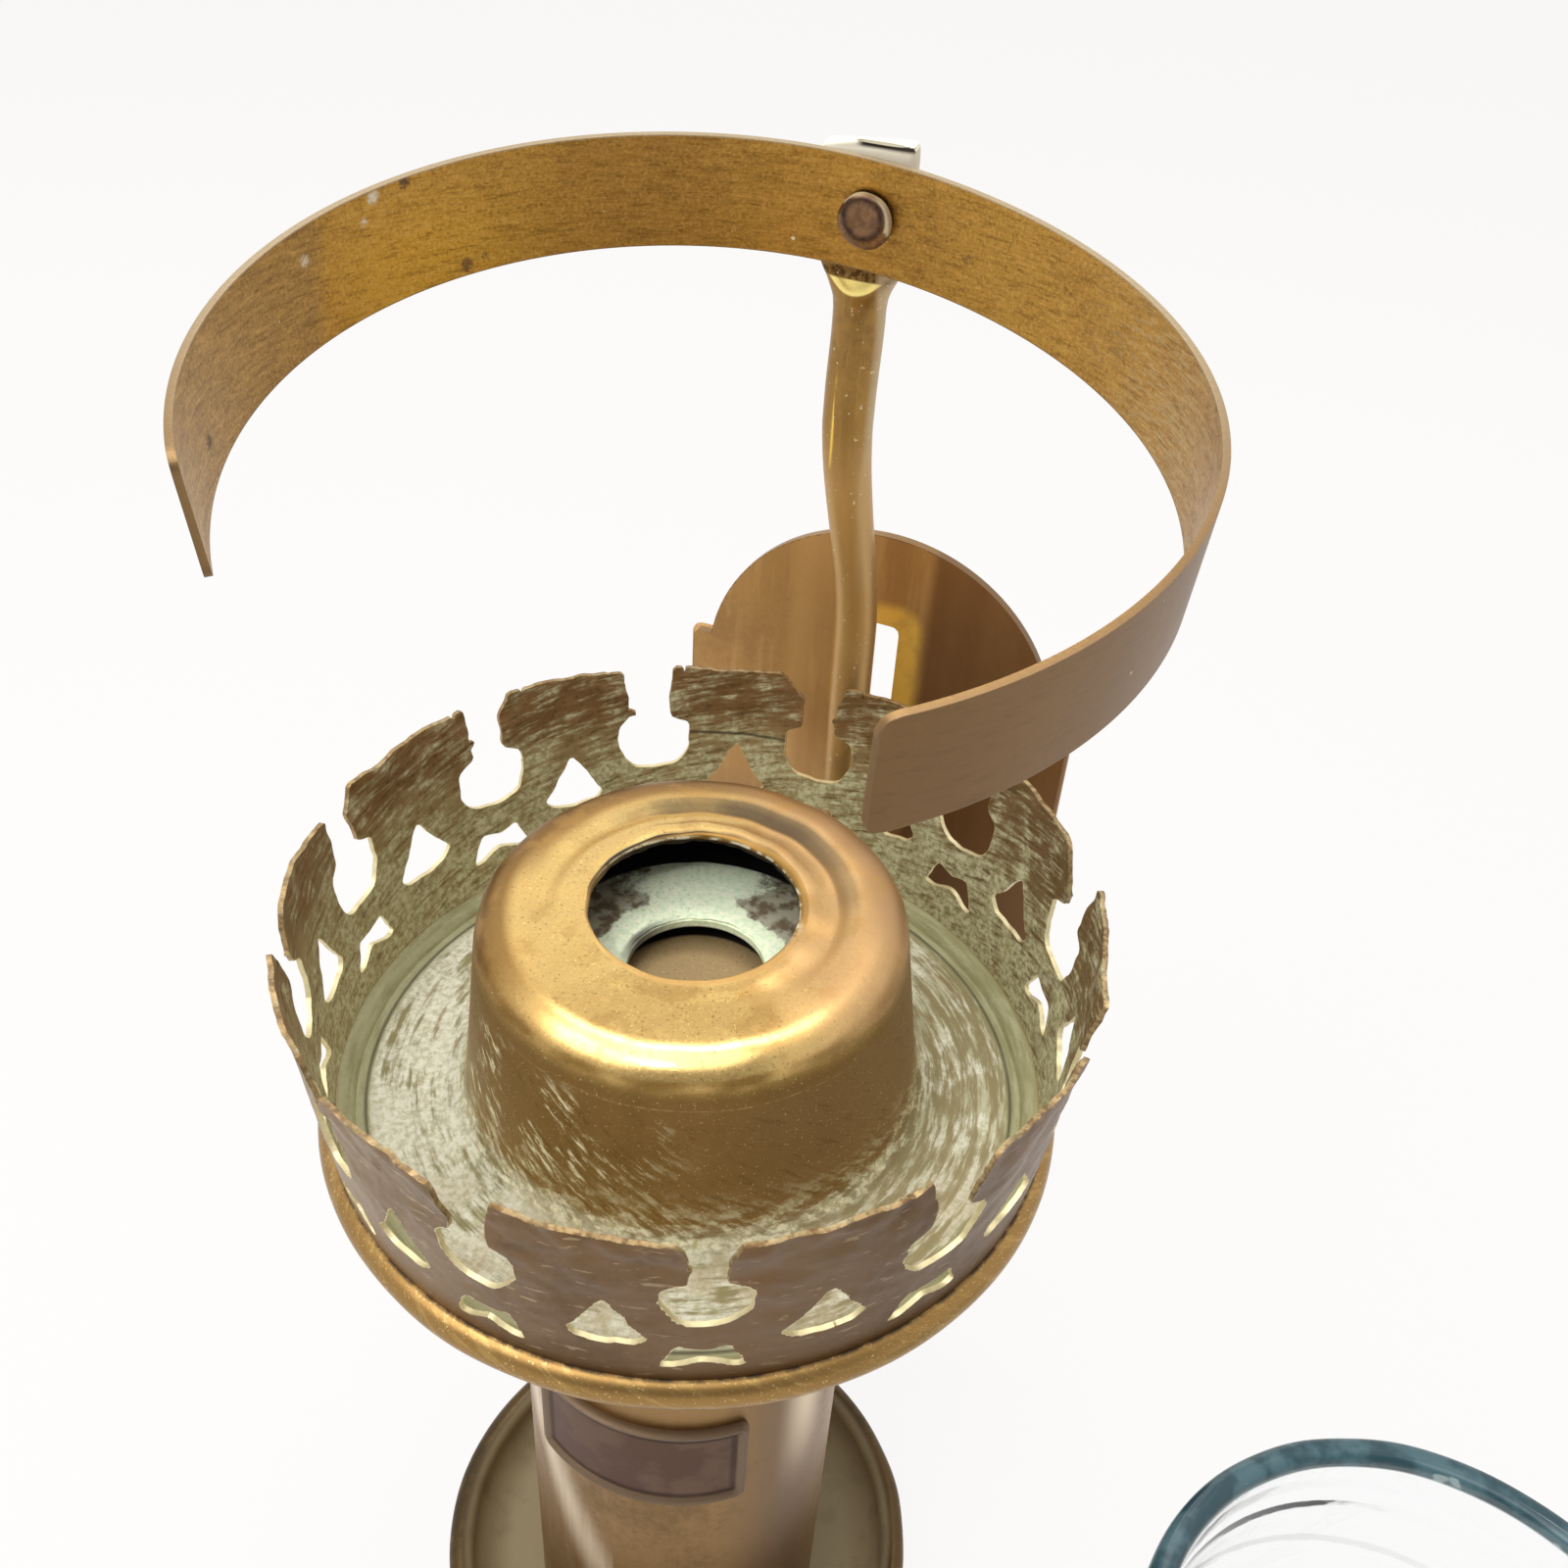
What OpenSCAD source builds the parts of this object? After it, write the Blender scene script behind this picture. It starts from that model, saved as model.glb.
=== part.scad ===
// Railway carriage candle lamp: a spring-fed candle column on a saucer base, a dished
// gallery with a pierced crown, a wall plate behind it, an open ring on a rod above it,
// and its glass chimney standing beside it.
// Millimetres. +Z is up, +Y points to the wall plate, and the origin is at the middle
// of the underside of the base, on the axis of the column.

/* [Base] */
// Radius of the saucer base, to the outside of its rolled rim
base_r = 32.4; // [28:0.2:40]
// Thickness of the rolled rim of the base
base_bead = 3.4; // [2.6:0.2:4.4]
// Height of the middle of that rim above the table
base_rim_z = 5.2; // [4.4:0.2:9]
// Radius of the flat foot under the saucer
base_foot_r = 24; // [21:0.5:26]
// Sheet of the saucer
base_sheet = 0.8; // [0.6:0.1:1.4]

/* [Candle column] */
// Outside diameter of the column
tube_d = 38.6; // [32:0.2:40]
// Wall of the column
tube_wall = 0.9; // [0.7:0.1:1.6]
// Height of the column's top edge above the table
tube_top = 114; // [112.5:0.5:115]
// Outside diameter of the ring that the gallery's sleeve stands on
stop_ring_d = 43; // [42.4:0.2:45]
// Height of that ring
stop_ring_h = 2; // [1.4:0.2:3]
// Diameter of the bayonet pins
pin_d = 2; // [1.6:0.2:2.4]

/* [Name plate] */
// Width of the plate, measured round the column
name_w = 25.6; // [16:0.2:28]
// Height of the plate
name_h = 15.4; // [10:0.2:18]
// Thickness of the plate's raised frame
name_t = 1; // [0.7:0.1:1.6]
// Width of that frame
name_frame = 1.9; // [1.2:0.1:3]
// Depth of the bare field inside the frame
name_recess = 0.5; // [0.3:0.1:0.6]
// Turn of the plate from the front, towards +X
name_turn = 8.7; // [-15:0.1:15]
// Height of the plate's middle
name_z = 56.1; // [40:0.1:62]

/* [Gallery] */
// Drop from the column's top edge to the middle of the gallery's rolled bead
gallery_drop = 14; // [13:0.5:16]
// Radius of the gallery, to the outside of the bead
gallery_r = 38; // [37:0.2:38.4]
// Thickness of the bead
gallery_bead = 3.8; // [3:0.2:4.4]
// Sheet of the dish and dome
gallery_sheet = 0.7; // [0.5:0.1:0.9]
// Height of the dish's floor above the middle of the bead
dish_rise = 0.6; // [0.4:0.1:0.9]
// Diameter of the dome
dome_d = 45.2; // [44.8:0.2:48]
// Height of the dome's flat top above the middle of the bead
dome_h = 22; // [20.5:0.5:25]
// Radius of the dome's top corner
dome_corner = 6.5; // [4:0.5:7]
// Radius of the hollow where the dome meets the dish
dome_fillet = 4.5; // [3:0.5:5]
// Diameter of the hole that the flame stands in
flame_hole_d = 20; // [16:0.5:22]
// Thickness of the rolled lip round that hole
lip_bead = 2.4; // [1.6:0.2:2.8]
// Length of the sleeve below the dish
sleeve_l = 15; // [13:0.5:17]
// Wall of the sleeve
sleeve_wall = 0.8; // [0.6:0.1:1]
// Turn that frees the gallery from its pins
gallery_twist = 32; // [20:1:40]

/* [Crown] */
// Number of tabs
tabs = 12; // [10:1:13]
// Height of the crown above the middle of the bead
crown_h = 25; // [22:0.5:28]
// Outside radius at the top of the tabs
crown_top_r = 39.4; // [38:0.1:39.8]
// Sheet of the crown
crown_sheet = 0.5; // [0.4:0.05:0.7]
// Turn of the first gap from the back, towards +X
crown_turn = -1; // [-15:0.5:15]
// Diameter of the round foot of each gap
gap_d = 7.6; // [6:0.1:8.2]
// Height of the middle of that round foot above the bead
gap_z = 16.4; // [15.4:0.1:17.4]
// Width of the neck between two tabs
neck_w = 4.2; // [3:0.1:5]
// Width of the neck where it opens between two tab tops
mouth_w = 5; // [4.5:0.1:7]
// Width of the three-cornered hole under each tab
tri_w = 6.2; // [4:0.1:7]
// Height of that hole
tri_h = 5.4; // [4:0.1:6.5]
// Height of that hole's foot above the bead
tri_z = 9.6; // [9:0.1:10.5]
// Width of the low slot under each gap, at its foot
bow_w = 8; // [6:0.1:8.6]
// Height of the low slot
bow_h = 2.9; // [2:0.1:3.4]
// Height of that slot's foot above the bead
bow_z = 5.1; // [4.4:0.1:6]

/* [Candle feed] */
// Diameter of the hole in the nozzle cap
nozzle_hole_d = 13.8; // [10:0.2:18]
// Sheet of the nozzle cap
nozzle_sheet = 0.8; // [0.6:0.1:1]
// Length of the nozzle cap's skirt
nozzle_skirt = 10; // [9:0.5:11]
// Turn that frees the nozzle cap from its pins
nozzle_twist = 32; // [20:1:40]
// Height of the follower cup
follower_h = 9; // [7:0.5:12]
// Depth of the hollow in the follower cup
follower_hollow = 2.6; // [1.5:0.1:3.5]
// Diameter of the spring's wire
spring_wire = 1.6; // [1.2:0.1:2]
// Diameter of the spring, through the middle of its wire
spring_d = 30; // [24:0.5:32]
// Number of open turns of the spring
spring_turns = 9; // [6:1:11]
// Thickness of the seat under the spring
seat_t = 2.2; // [1.6:0.2:4]

/* [Wall plate] */
// Distance from the column's axis to the front of the plate
plate_y = 49.8; // [49:0.2:56]
// Width of the plate below its shoulders
plate_w = 49.8; // [44:0.2:56]
// Height of the plate's lower edge above the table
plate_foot_z = 40; // [30:1:48]
// Height of the shoulders above the table
shoulder_z = 120.7; // [118:0.1:122]
// Radius of the arched top
arch_r = 22.3; // [20:0.1:22.8]
// Height of the middle of the arch above the table
arch_z = 117.4; // [116:0.1:118]
// Sheet of the plate
plate_t = 1.2; // [1:0.1:1.6]
// Width of the turned-back hems at the sides
hem_w = 4.5; // [3.5:0.1:6]
// Width of the hanging slot
slot_w = 4.8; // [4.6:0.1:6]
// Height of the hanging slot
slot_h = 11.6; // [8:0.1:13]
// Height of the slot's foot above the table
slot_z = 116.7; // [112:0.1:119]

/* [Stand-off bracket] */
// Height of the bracket's shelf above the table
shelf_z = 74; // [72:0.5:75]
// Width of the shelf
shelf_w = 22; // [18:0.5:26]
// Sheet of the bracket
bracket_t = 1.2; // [1:0.1:1.6]
// Depth of the bracket's cheeks at the wall plate
cheek_h = 17; // [15:0.5:20]
// Diameter of the bracket's rivets
bracket_rivet_d = 3; // [2.4:0.2:3.4]

/* [Rod and ring] */
// Diameter of the rod
rod_d = 4.7; // [4:0.1:5]
// Distance from the column's axis to the rod's lower length
rod_y = 43; // [42.6:0.1:45]
// Height where the rod starts to lean in
rod_bend_z = 131; // [129:0.5:133]
// Height where it stands upright again
rod_straight_z = 152; // [148:0.5:156]
// Sideways set of the rod's upper length, towards -X
rod_set = 1.2; // [0:0.1:2]
// Width of the flattened head of the rod
paddle_w = 8.9; // [8:0.1:10]
// Thickness of the flattened head
paddle_t = 2.4; // [2:0.1:3]
// Radius of the ring, to the middle of its strap
ring_r = 37; // [35:0.2:38]
// Width of the ring's strap
ring_h = 11.1; // [8:0.1:13]
// Thickness of the ring's strap
ring_t = 0.9; // [0.7:0.1:1.2]
// Height of the ring's rivet above the table
ring_z = 178.5; // [172:0.5:184]
// Distance from the column's axis to the strap's middle at the rivet
ring_y = 35.9; // [35.5:0.1:36.5]
// Forward droop of the ring
ring_droop = 11.4; // [8:0.1:13]
// Dip of the ring's right side
ring_dip = 4.7; // [0:0.1:8]
// Reach of the ring's left arm round from the rivet
ring_left = 136.4; // [120:0.1:145]
// Reach of the ring's right arm round from the rivet
ring_right = 140.2; // [120:0.1:145]
// Diameter of the ring rivet's shank
ring_rivet_d = 3; // [2.6:0.1:3.4]
// Diameter of the ring rivet's head
ring_head_d = 5.3; // [4.6:0.1:6]

/* [Glass chimney] */
// Height of the chimney
glass_h = 89.7; // [80:0.1:100]
// Outside radius at the rim
glass_rim_r = 24.7; // [22:0.1:25.6]
// Outside radius of the body
glass_body_r = 25.8; // [25:0.1:27]
// Outside radius of the foot
glass_foot_r = 33; // [31:0.1:34]
// Wall of the glass
glass_wall = 2.4; // [1.8:0.1:3]
// How far beside the column the chimney stands
glass_x = 80.3; // [78:0.1:90]
// How far in front of the column's axis the chimney stands
glass_front = 27.7; // [20:0.1:40]

/* [Hidden] */
$fn = 96;

brass = "#9a7a3e";
gold_brass = "#b08a3c";
brown_brass = "#8a6a45";
verdigris = "#8f9a7a";
dark_brass = "#5a4a38";
steel = "#8c8a86";
glass_green = "#9fc4c0";

// Clearance of a part that turns or slides on another
run_gap = 0.1;
// Clearance of a pin in its slot, and of a free face
free_gap = 0.2;
// A cut reaches this far past the face that it opens
past = 1;
// Two halves of one section overlap by this much
lap = 0.01;

tube_r = tube_d / 2;
bore_r = tube_r - tube_wall;
seat_top = base_sheet + seat_t;

// The gallery hangs its sleeve round the column and stands on the stop ring.
gallery_z = tube_top - gallery_drop;
floor_z = gallery_z + dish_rise;
floor_under = floor_z - gallery_sheet;
bead_c = gallery_r - gallery_bead / 2;
dome_r = dome_d / 2;
dome_top = gallery_z + dome_h;
sleeve_in = tube_r + run_gap;
sleeve_out = sleeve_in + sleeve_wall;
sleeve_foot = floor_under - sleeve_l;
pin_proud = 0.3;
pin_share = 0.4;
pin_out = sleeve_out + pin_proud;
gallery_pin_z = sleeve_foot + sleeve_l * pin_share;
flange_r = dome_r + dome_fillet + 2;
nozzle_top = tube_top + nozzle_sheet;
nozzle_pin_z = tube_top - nozzle_skirt / 2;
slot_height = pin_d + 2 * free_gap;

// The candle feed fills the column between the seat and the nozzle cap.
follower_top = tube_top - free_gap;
follower_foot = follower_top - follower_h;
follower_r = bore_r - run_gap;
follower_lip = 2;
follower_wall = 1.2;
follower_floor = 1.4;

// The crown stands in the bead and leans out to its tab tops.
crown_seat_share = 0.15;
crown_foot_z = gallery_z + gallery_bead * crown_seat_share;
crown_top_z = gallery_z + crown_h;
crown_foot_r = bead_c + crown_sheet / 2;
tab_pitch = 360 / tabs;
cut_reach = 12;
bow_top_share = 0.3;
bow_sag_share = 0.72;

// The bracket's saddle is lower than its cheeks at the plate, and its rivets stand in rows
saddle_share = 0.7;
rivet_x_share = 0.3;
rivet_rows = [0.3, 0.75];
rivet_head_share = 0.85;
rivet_top_share = 0.55;

// The rod stands on the bracket's shelf, and its head lies behind the ring.
shelf_top = shelf_z + bracket_t;
collar_h = 2;
collar_r = rod_d / 2 + 1.7;
nut_h = 3;
nut_w = rod_d + 3.4;
foot_proud = 2;
washer_t = 0.6;
washer_r = ring_head_d / 2 + 0.7;
paddle_up = 6;
paddle_full = 3;
paddle_down = 9;
paddle_near = ring_t / 2 + free_gap + washer_t;
ring_tail_h = 1.1;
ring_head_h = 1.3;
paddle_bevel = 2.4;
paddle_edge = 0.4;
slit_w_share = 0.6;
slit_t_share = 0.2;
slit_depth = 1.6;
head_lap = 4;
ring_head_share = 0.8;
ring_tail_share = 0.6;
paddle_foot = rod_d - 0.8;
// The rod swells by this much where it is bent
knuckle = 0.14;
rod_head_y = ring_y + (paddle_near + paddle_t / 2) * cos(ring_droop)
    + paddle_down * sin(ring_droop);
rod_head_z = ring_z - paddle_down * cos(ring_droop)
    + (paddle_near + paddle_t / 2) * sin(ring_droop);

// The chimney flares to its foot and draws in a little to its rim
flare_h = 16;
foot_lip = 2;
rim_drop = 15;
rim_lead = 4;

// A ring with a rectangular section, or part of one from one angle to another
module band(r_in, r_out, z_low, z_high, from = 0, to = 360) {
    rotate([0, 0, from])
        rotate_extrude(angle = to - from)
            translate([r_in, z_low])
                square([r_out - r_in, z_high - z_low]);
}

// A straight round bar between two points
module bar(a, b, r) {
    d = b - a;
    len = norm(d);
    translate(a)
        rotate([0, acos(d[2] / len), atan2(d[1], d[0])])
            cylinder(r = r, h = len);
}

// Two pins that stand out of the column, at opposite sides
module pin_pair(z) {
    for (side = [0, 180])
        rotate([0, 0, side])
            translate([tube_r - tube_wall / 2, 0, z])
                rotate([0, 90, 0])
                    cylinder(d = pin_d, h = pin_out - tube_r + tube_wall / 2);
}

// The two L-shaped slots that those pins lock in, cut up from a lower edge
module pin_slots(r_in, r_out, pin_z, foot_z, twist) {
    half = asin((pin_d / 2 + free_gap) / r_in);
    for (side = [0, 180])
        rotate([0, 0, side]) {
            band(r_in - past, r_out + past, pin_z - slot_height / 2,
                pin_z + slot_height / 2, -twist - half, half);
            band(r_in - past, r_out + past, foot_z - past, pin_z + slot_height / 2,
                -twist - half, -twist + half);
        }
}

// The saucer: a flat foot, a curved side and a rolled rim
module base_dish() {
    rim_c = base_r - base_bead / 2;
    color(brass)
        rotate_extrude() {
            difference() {
                base_side(0);
                base_side(base_sheet);
            }
            translate([rim_c, base_rim_z])
                circle(d = base_bead);
        }
}

// The space under the saucer's upper or lower face, as a half section
module base_side(up) {
    rim_c = base_r - base_bead / 2;
    curve_r = ((rim_c - base_foot_r) ^ 2 + base_rim_z ^ 2) / (2 * base_rim_z);
    intersection() {
        union() {
            translate([0, up])
                square([base_foot_r, base_rim_z]);
            translate([base_foot_r, curve_r])
                circle(r = curve_r - up);
        }
        square([rim_c, base_rim_z]);
    }
}

// The disc that closes the foot of the column and carries the spring
module spring_seat() {
    color(brass) {
        translate([0, 0, base_sheet])
            cylinder(r = bore_r, h = seat_t);
        translate([0, 0, seat_top])
            cylinder(r = spring_d / 2 - spring_wire / 2 - 2 * free_gap, h = 2 * spring_wire);
    }
}

module candle_tube() {
    color(gold_brass)
        difference() {
            translate([0, 0, base_sheet])
                cylinder(r = tube_r, h = tube_top - base_sheet);
            cylinder(r = bore_r, h = tube_top + past);
            pin_pair(gallery_pin_z);
            pin_pair(nozzle_pin_z);
        }
}

module stop_ring() {
    color(brass)
        band(tube_r, stop_ring_d / 2, sleeve_foot - free_gap - stop_ring_h,
            sleeve_foot - free_gap);
}

module gallery_pins() {
    color(steel)
        pin_pair(gallery_pin_z);
}

module nozzle_pins() {
    color(steel)
        pin_pair(nozzle_pin_z);
}

// A bare plate with a raised frame, bent round the front of the column
module name_plate() {
    half = name_w / 2 / tube_r * 180 / PI;
    field = (name_w / 2 - name_frame) / tube_r * 180 / PI;
    middle = -90 + name_turn;
    color(dark_brass)
        difference() {
            band(tube_r, tube_r + name_t, name_z - name_h / 2, name_z + name_h / 2,
                middle - half, middle + half);
            band(tube_r + name_t - name_recess, tube_r + name_t + past,
                name_z - name_h / 2 + name_frame, name_z + name_h / 2 - name_frame,
                middle - field, middle + field);
        }
}

// The spring is one wire: a closed turn at each end and open turns between
spring_sides = 6;
spring_steps = 14;
spring_play = 0.05;
closed_pitch = spring_wire + 0.5;
spring_low = seat_top + spring_wire / 2 + spring_play;
spring_high = follower_foot - spring_wire / 2 - spring_play;
open_pitch = (spring_high - spring_low - 2 * closed_pitch) / spring_turns;
spring_rings = (spring_turns + 2) * spring_steps;

function spring_rise(turn) =
    turn < 1 ? closed_pitch * turn
    : turn < 1 + spring_turns ? closed_pitch + open_pitch * (turn - 1)
    : closed_pitch * (turn - spring_turns) + open_pitch * spring_turns;

function spring_point(i) =
    let (turn = i / spring_steps)
    [spring_d / 2 * cos(360 * turn), spring_d / 2 * sin(360 * turn),
        spring_low + spring_rise(turn)];

spring_gap = min([for (i = [0 : spring_rings - spring_steps])
    norm(spring_point(i + spring_steps) - spring_point(i))]) - spring_wire;
echo(least_gap_between_spring_turns = spring_gap);

module candle_spring() {
    points = [for (i = [0 : spring_rings], k = [0 : spring_sides - 1])
        let (p = spring_point(i), out = 360 * i / spring_steps, a = 360 * k / spring_sides)
        p + spring_wire / 2 * [cos(a) * cos(out), cos(a) * sin(out), sin(a)]];
    sides = [for (i = [0 : spring_rings - 1], k = [0 : spring_sides - 1])
        let (a = i * spring_sides + k, b = i * spring_sides + (k + 1) % spring_sides)
        each [[a, a + spring_sides, b], [b, a + spring_sides, b + spring_sides]]];
    last = spring_rings * spring_sides;
    start_cap = [for (k = [1 : spring_sides - 2]) [0, k, k + 1]];
    end_cap = [for (k = [1 : spring_sides - 2]) [last, last + k + 1, last + k]];
    color(steel)
        polyhedron(points = points, faces = concat(sides, start_cap, end_cap));
}

// The cup that the spring pushes up under the candle
module follower_cup() {
    color(brown_brass)
        difference() {
            translate([0, 0, follower_foot])
                cylinder(r = follower_r, h = follower_h);
            translate([0, 0, follower_top - follower_hollow])
                cylinder(r = follower_r - follower_lip, h = follower_hollow + past);
            translate([0, 0, follower_foot - past])
                cylinder(r = follower_r - follower_wall,
                    h = follower_h - follower_hollow - follower_floor + past);
        }
}

// The cap that the candle's shoulder presses against, on its bayonet
module nozzle_cap() {
    skirt_foot = tube_top - nozzle_skirt;
    color(verdigris)
        difference() {
            union() {
                band(nozzle_hole_d / 2, sleeve_out, tube_top, nozzle_top);
                band(sleeve_in, sleeve_out, skirt_foot, nozzle_top);
            }
            pin_slots(sleeve_in, sleeve_out, nozzle_pin_z, skirt_foot, nozzle_twist);
        }
}

// The space under the gallery's upper or lower face, as a half section
module gallery_side(down) {
    corner_c = dome_r - dome_corner;
    translate([0, floor_under - gallery_sheet])
        square([bead_c, floor_z - down - floor_under + gallery_sheet]);
    translate([0, floor_under])
        square([dome_r - down, dome_top - dome_corner - floor_under]);
    translate([0, floor_under])
        square([corner_c, dome_top - down - floor_under]);
    translate([corner_c, dome_top - dome_corner])
        circle(r = dome_corner - down);
    difference() {
        translate([dome_r - down - lap, floor_z - down - lap])
            square([dome_fillet + down, dome_fillet + down]);
        translate([dome_r + dome_fillet, floor_z + dome_fillet])
            circle(r = dome_fillet + down);
        translate([dome_r - down, floor_z + dome_fillet])
            square([dome_fillet + down + past, dome_fillet]);
        translate([dome_r + dome_fillet, floor_z - down])
            square([dome_fillet, dome_fillet + down + past]);
    }
}

// The spun dish and dome, with the rolled bead, the rolled lip and the flame hole
module gallery_dish() {
    color(gold_brass)
        difference() {
            rotate_extrude() {
                difference() {
                    gallery_side(0);
                    gallery_side(gallery_sheet);
                    translate([-past, floor_under - 2 * gallery_sheet])
                        square([dome_r - gallery_sheet + past, 2 * gallery_sheet]);
                    square([flame_hole_d / 2, dome_top + past]);
                    translate([0, floor_under - gallery_sheet])
                        square([gallery_r, gallery_sheet]);
                }
                translate([bead_c, gallery_z])
                    circle(d = gallery_bead);
                translate([flame_hole_d / 2 + lip_bead / 2, dome_top + gallery_sheet / 2])
                    circle(d = lip_bead);
            }
            crown_strip();
        }
}

// The crown before it is pierced: a thin strip leaning out of the bead
module crown_strip() {
    rotate_extrude()
        polygon([
            [crown_foot_r - crown_sheet, crown_foot_z],
            [crown_foot_r, crown_foot_z],
            [crown_top_r, crown_top_z],
            [crown_top_r - crown_sheet, crown_top_z]
        ]);
}

// A cut through the crown, drawn upright and turned to its place
module crown_cut(turn) {
    rotate([0, 0, -turn])
        translate([0, gallery_r + cut_reach / 2, 0])
            rotate([90, 0, 0])
                linear_extrude(height = cut_reach)
                    children();
}

module crown_gap() {
    translate([0, gallery_z + gap_z])
        circle(d = gap_d);
    translate([0, gallery_z])
        polygon([
            [-neck_w / 2, gap_z], [neck_w / 2, gap_z],
            [mouth_w / 2, crown_h + past], [-mouth_w / 2, crown_h + past]
        ]);
    translate([0, gallery_z + bow_z])
        polygon([
            [-bow_w / 2, 0], [bow_w / 2, 0], [bow_w * bow_top_share, bow_h],
            [0, bow_h * bow_sag_share], [-bow_w * bow_top_share, bow_h]
        ]);
}

module crown_triangle() {
    translate([0, gallery_z + tri_z])
        polygon([[-tri_w / 2, 0], [tri_w / 2, 0], [0, tri_h]]);
}

// The pierced crown that holds the foot of the glass
module gallery_crown() {
    color(verdigris)
        difference() {
            crown_strip();
            for (i = [0 : tabs - 1]) {
                crown_cut(crown_turn + i * tab_pitch)
                    crown_gap();
                crown_cut(crown_turn + (i + 0.5) * tab_pitch)
                    crown_triangle();
            }
        }
}

// The sleeve under the dish, with a flange soldered to the dish's underside
module gallery_sleeve() {
    color(brass)
        difference() {
            union() {
                band(sleeve_in, sleeve_out, sleeve_foot, floor_under);
                band(sleeve_in, flange_r, floor_under - sleeve_wall, floor_under);
            }
            pin_slots(sleeve_in, sleeve_out, gallery_pin_z, sleeve_foot, gallery_twist);
        }
}

// The plate's outline from the front, with hems left off
module plate_face() {
    translate([0, arch_z])
        circle(r = arch_r);
    translate([-plate_w / 2 + plate_t, plate_foot_z])
        square([plate_w - 2 * plate_t, shoulder_z - plate_foot_z]);
}

module plate_slot() {
    translate([-slot_w / 2, slot_z])
        square([slot_w, slot_h]);
}

// The wall plate: arched top, shoulders, hanging slot and hems turned back at the sides
module wall_plate() {
    color(gold_brass)
        difference() {
            union() {
                translate([0, plate_y + plate_t, 0])
                    rotate([90, 0, 0])
                        linear_extrude(height = plate_t)
                            difference() {
                                plate_face();
                                plate_slot();
                            }
                for (side = [-1, 1]) {
                    translate([side * (plate_w / 2 - plate_t), plate_y + plate_t, plate_foot_z])
                        cylinder(r = plate_t, h = shoulder_z - plate_foot_z);
                    translate([side > 0 ? plate_w / 2 - hem_w : -plate_w / 2 + plate_t,
                        plate_y + plate_t, plate_foot_z])
                        cube([hem_w - plate_t, plate_t, shoulder_z - plate_foot_z]);
                }
            }
            bracket_rivet_places()
                cylinder(d = bracket_rivet_d, h = 4 * plate_t, center = true);
        }
}

// Each of the bracket's four rivets, pointing at the wall plate
module bracket_rivet_places() {
    for (x = [-1, 1], row = rivet_rows)
        translate([x * shelf_w * rivet_x_share, plate_y, shelf_z - cheek_h * row])
            rotate([90, 0, 0])
                children();
}

// The folded bracket that holds the wall plate off the column
module standoff_bracket() {
    back = plate_y - bracket_t;
    saddle_half = asin((shelf_w - bracket_t) / 2 / (tube_r + bracket_t));
    saddle_z = shelf_z - cheek_h * saddle_share;
    color(brown_brass)
        difference() {
            union() {
                translate([-shelf_w / 2, 0, shelf_z])
                    cube([shelf_w, plate_y, bracket_t]);
                translate([-shelf_w / 2, back, shelf_z - cheek_h])
                    cube([shelf_w, bracket_t, cheek_h + bracket_t]);
                band(tube_r - past, tube_r + bracket_t, saddle_z, shelf_z + bracket_t,
                    90 - saddle_half, 90 + saddle_half);
                for (side = [-shelf_w / 2, shelf_w / 2 - bracket_t])
                    translate([side, 0, 0])
                        rotate([90, 0, 90])
                            linear_extrude(height = bracket_t)
                                polygon([
                                    [0, shelf_z + bracket_t], [plate_y, shelf_z + bracket_t],
                                    [plate_y, shelf_z - cheek_h], [back, shelf_z - cheek_h],
                                    [tube_r, saddle_z], [0, saddle_z]
                                ]);
            }
            translate([0, 0, shelf_z - cheek_h - past])
                cylinder(r = tube_r, h = cheek_h + bracket_t + 2 * past);
            translate([0, rod_y, shelf_z - past])
                cylinder(d = rod_d, h = bracket_t + 2 * past);
            bracket_rivet_places()
                cylinder(d = bracket_rivet_d, h = 4 * plate_t, center = true);
        }
}

module bracket_rivets() {
    head_r = bracket_rivet_d * rivet_head_share;
    head_h = plate_t;
    color(brass)
        bracket_rivet_places() {
            translate([0, 0, -plate_t - head_h])
                cylinder(r = head_r, h = head_h);
            translate([0, 0, -plate_t])
                cylinder(d = bracket_rivet_d, h = plate_t + bracket_t);
            translate([0, 0, bracket_t])
                cylinder(r1 = head_r, r2 = head_r * rivet_top_share, h = head_h);
        }
}

// Puts what is drawn at the ring's rivet in its place: +Y runs back along the rivet
module at_ring_rivet() {
    translate([-rod_set, ring_y, ring_z])
        rotate([ring_droop, 0, 0])
            children();
}

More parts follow.
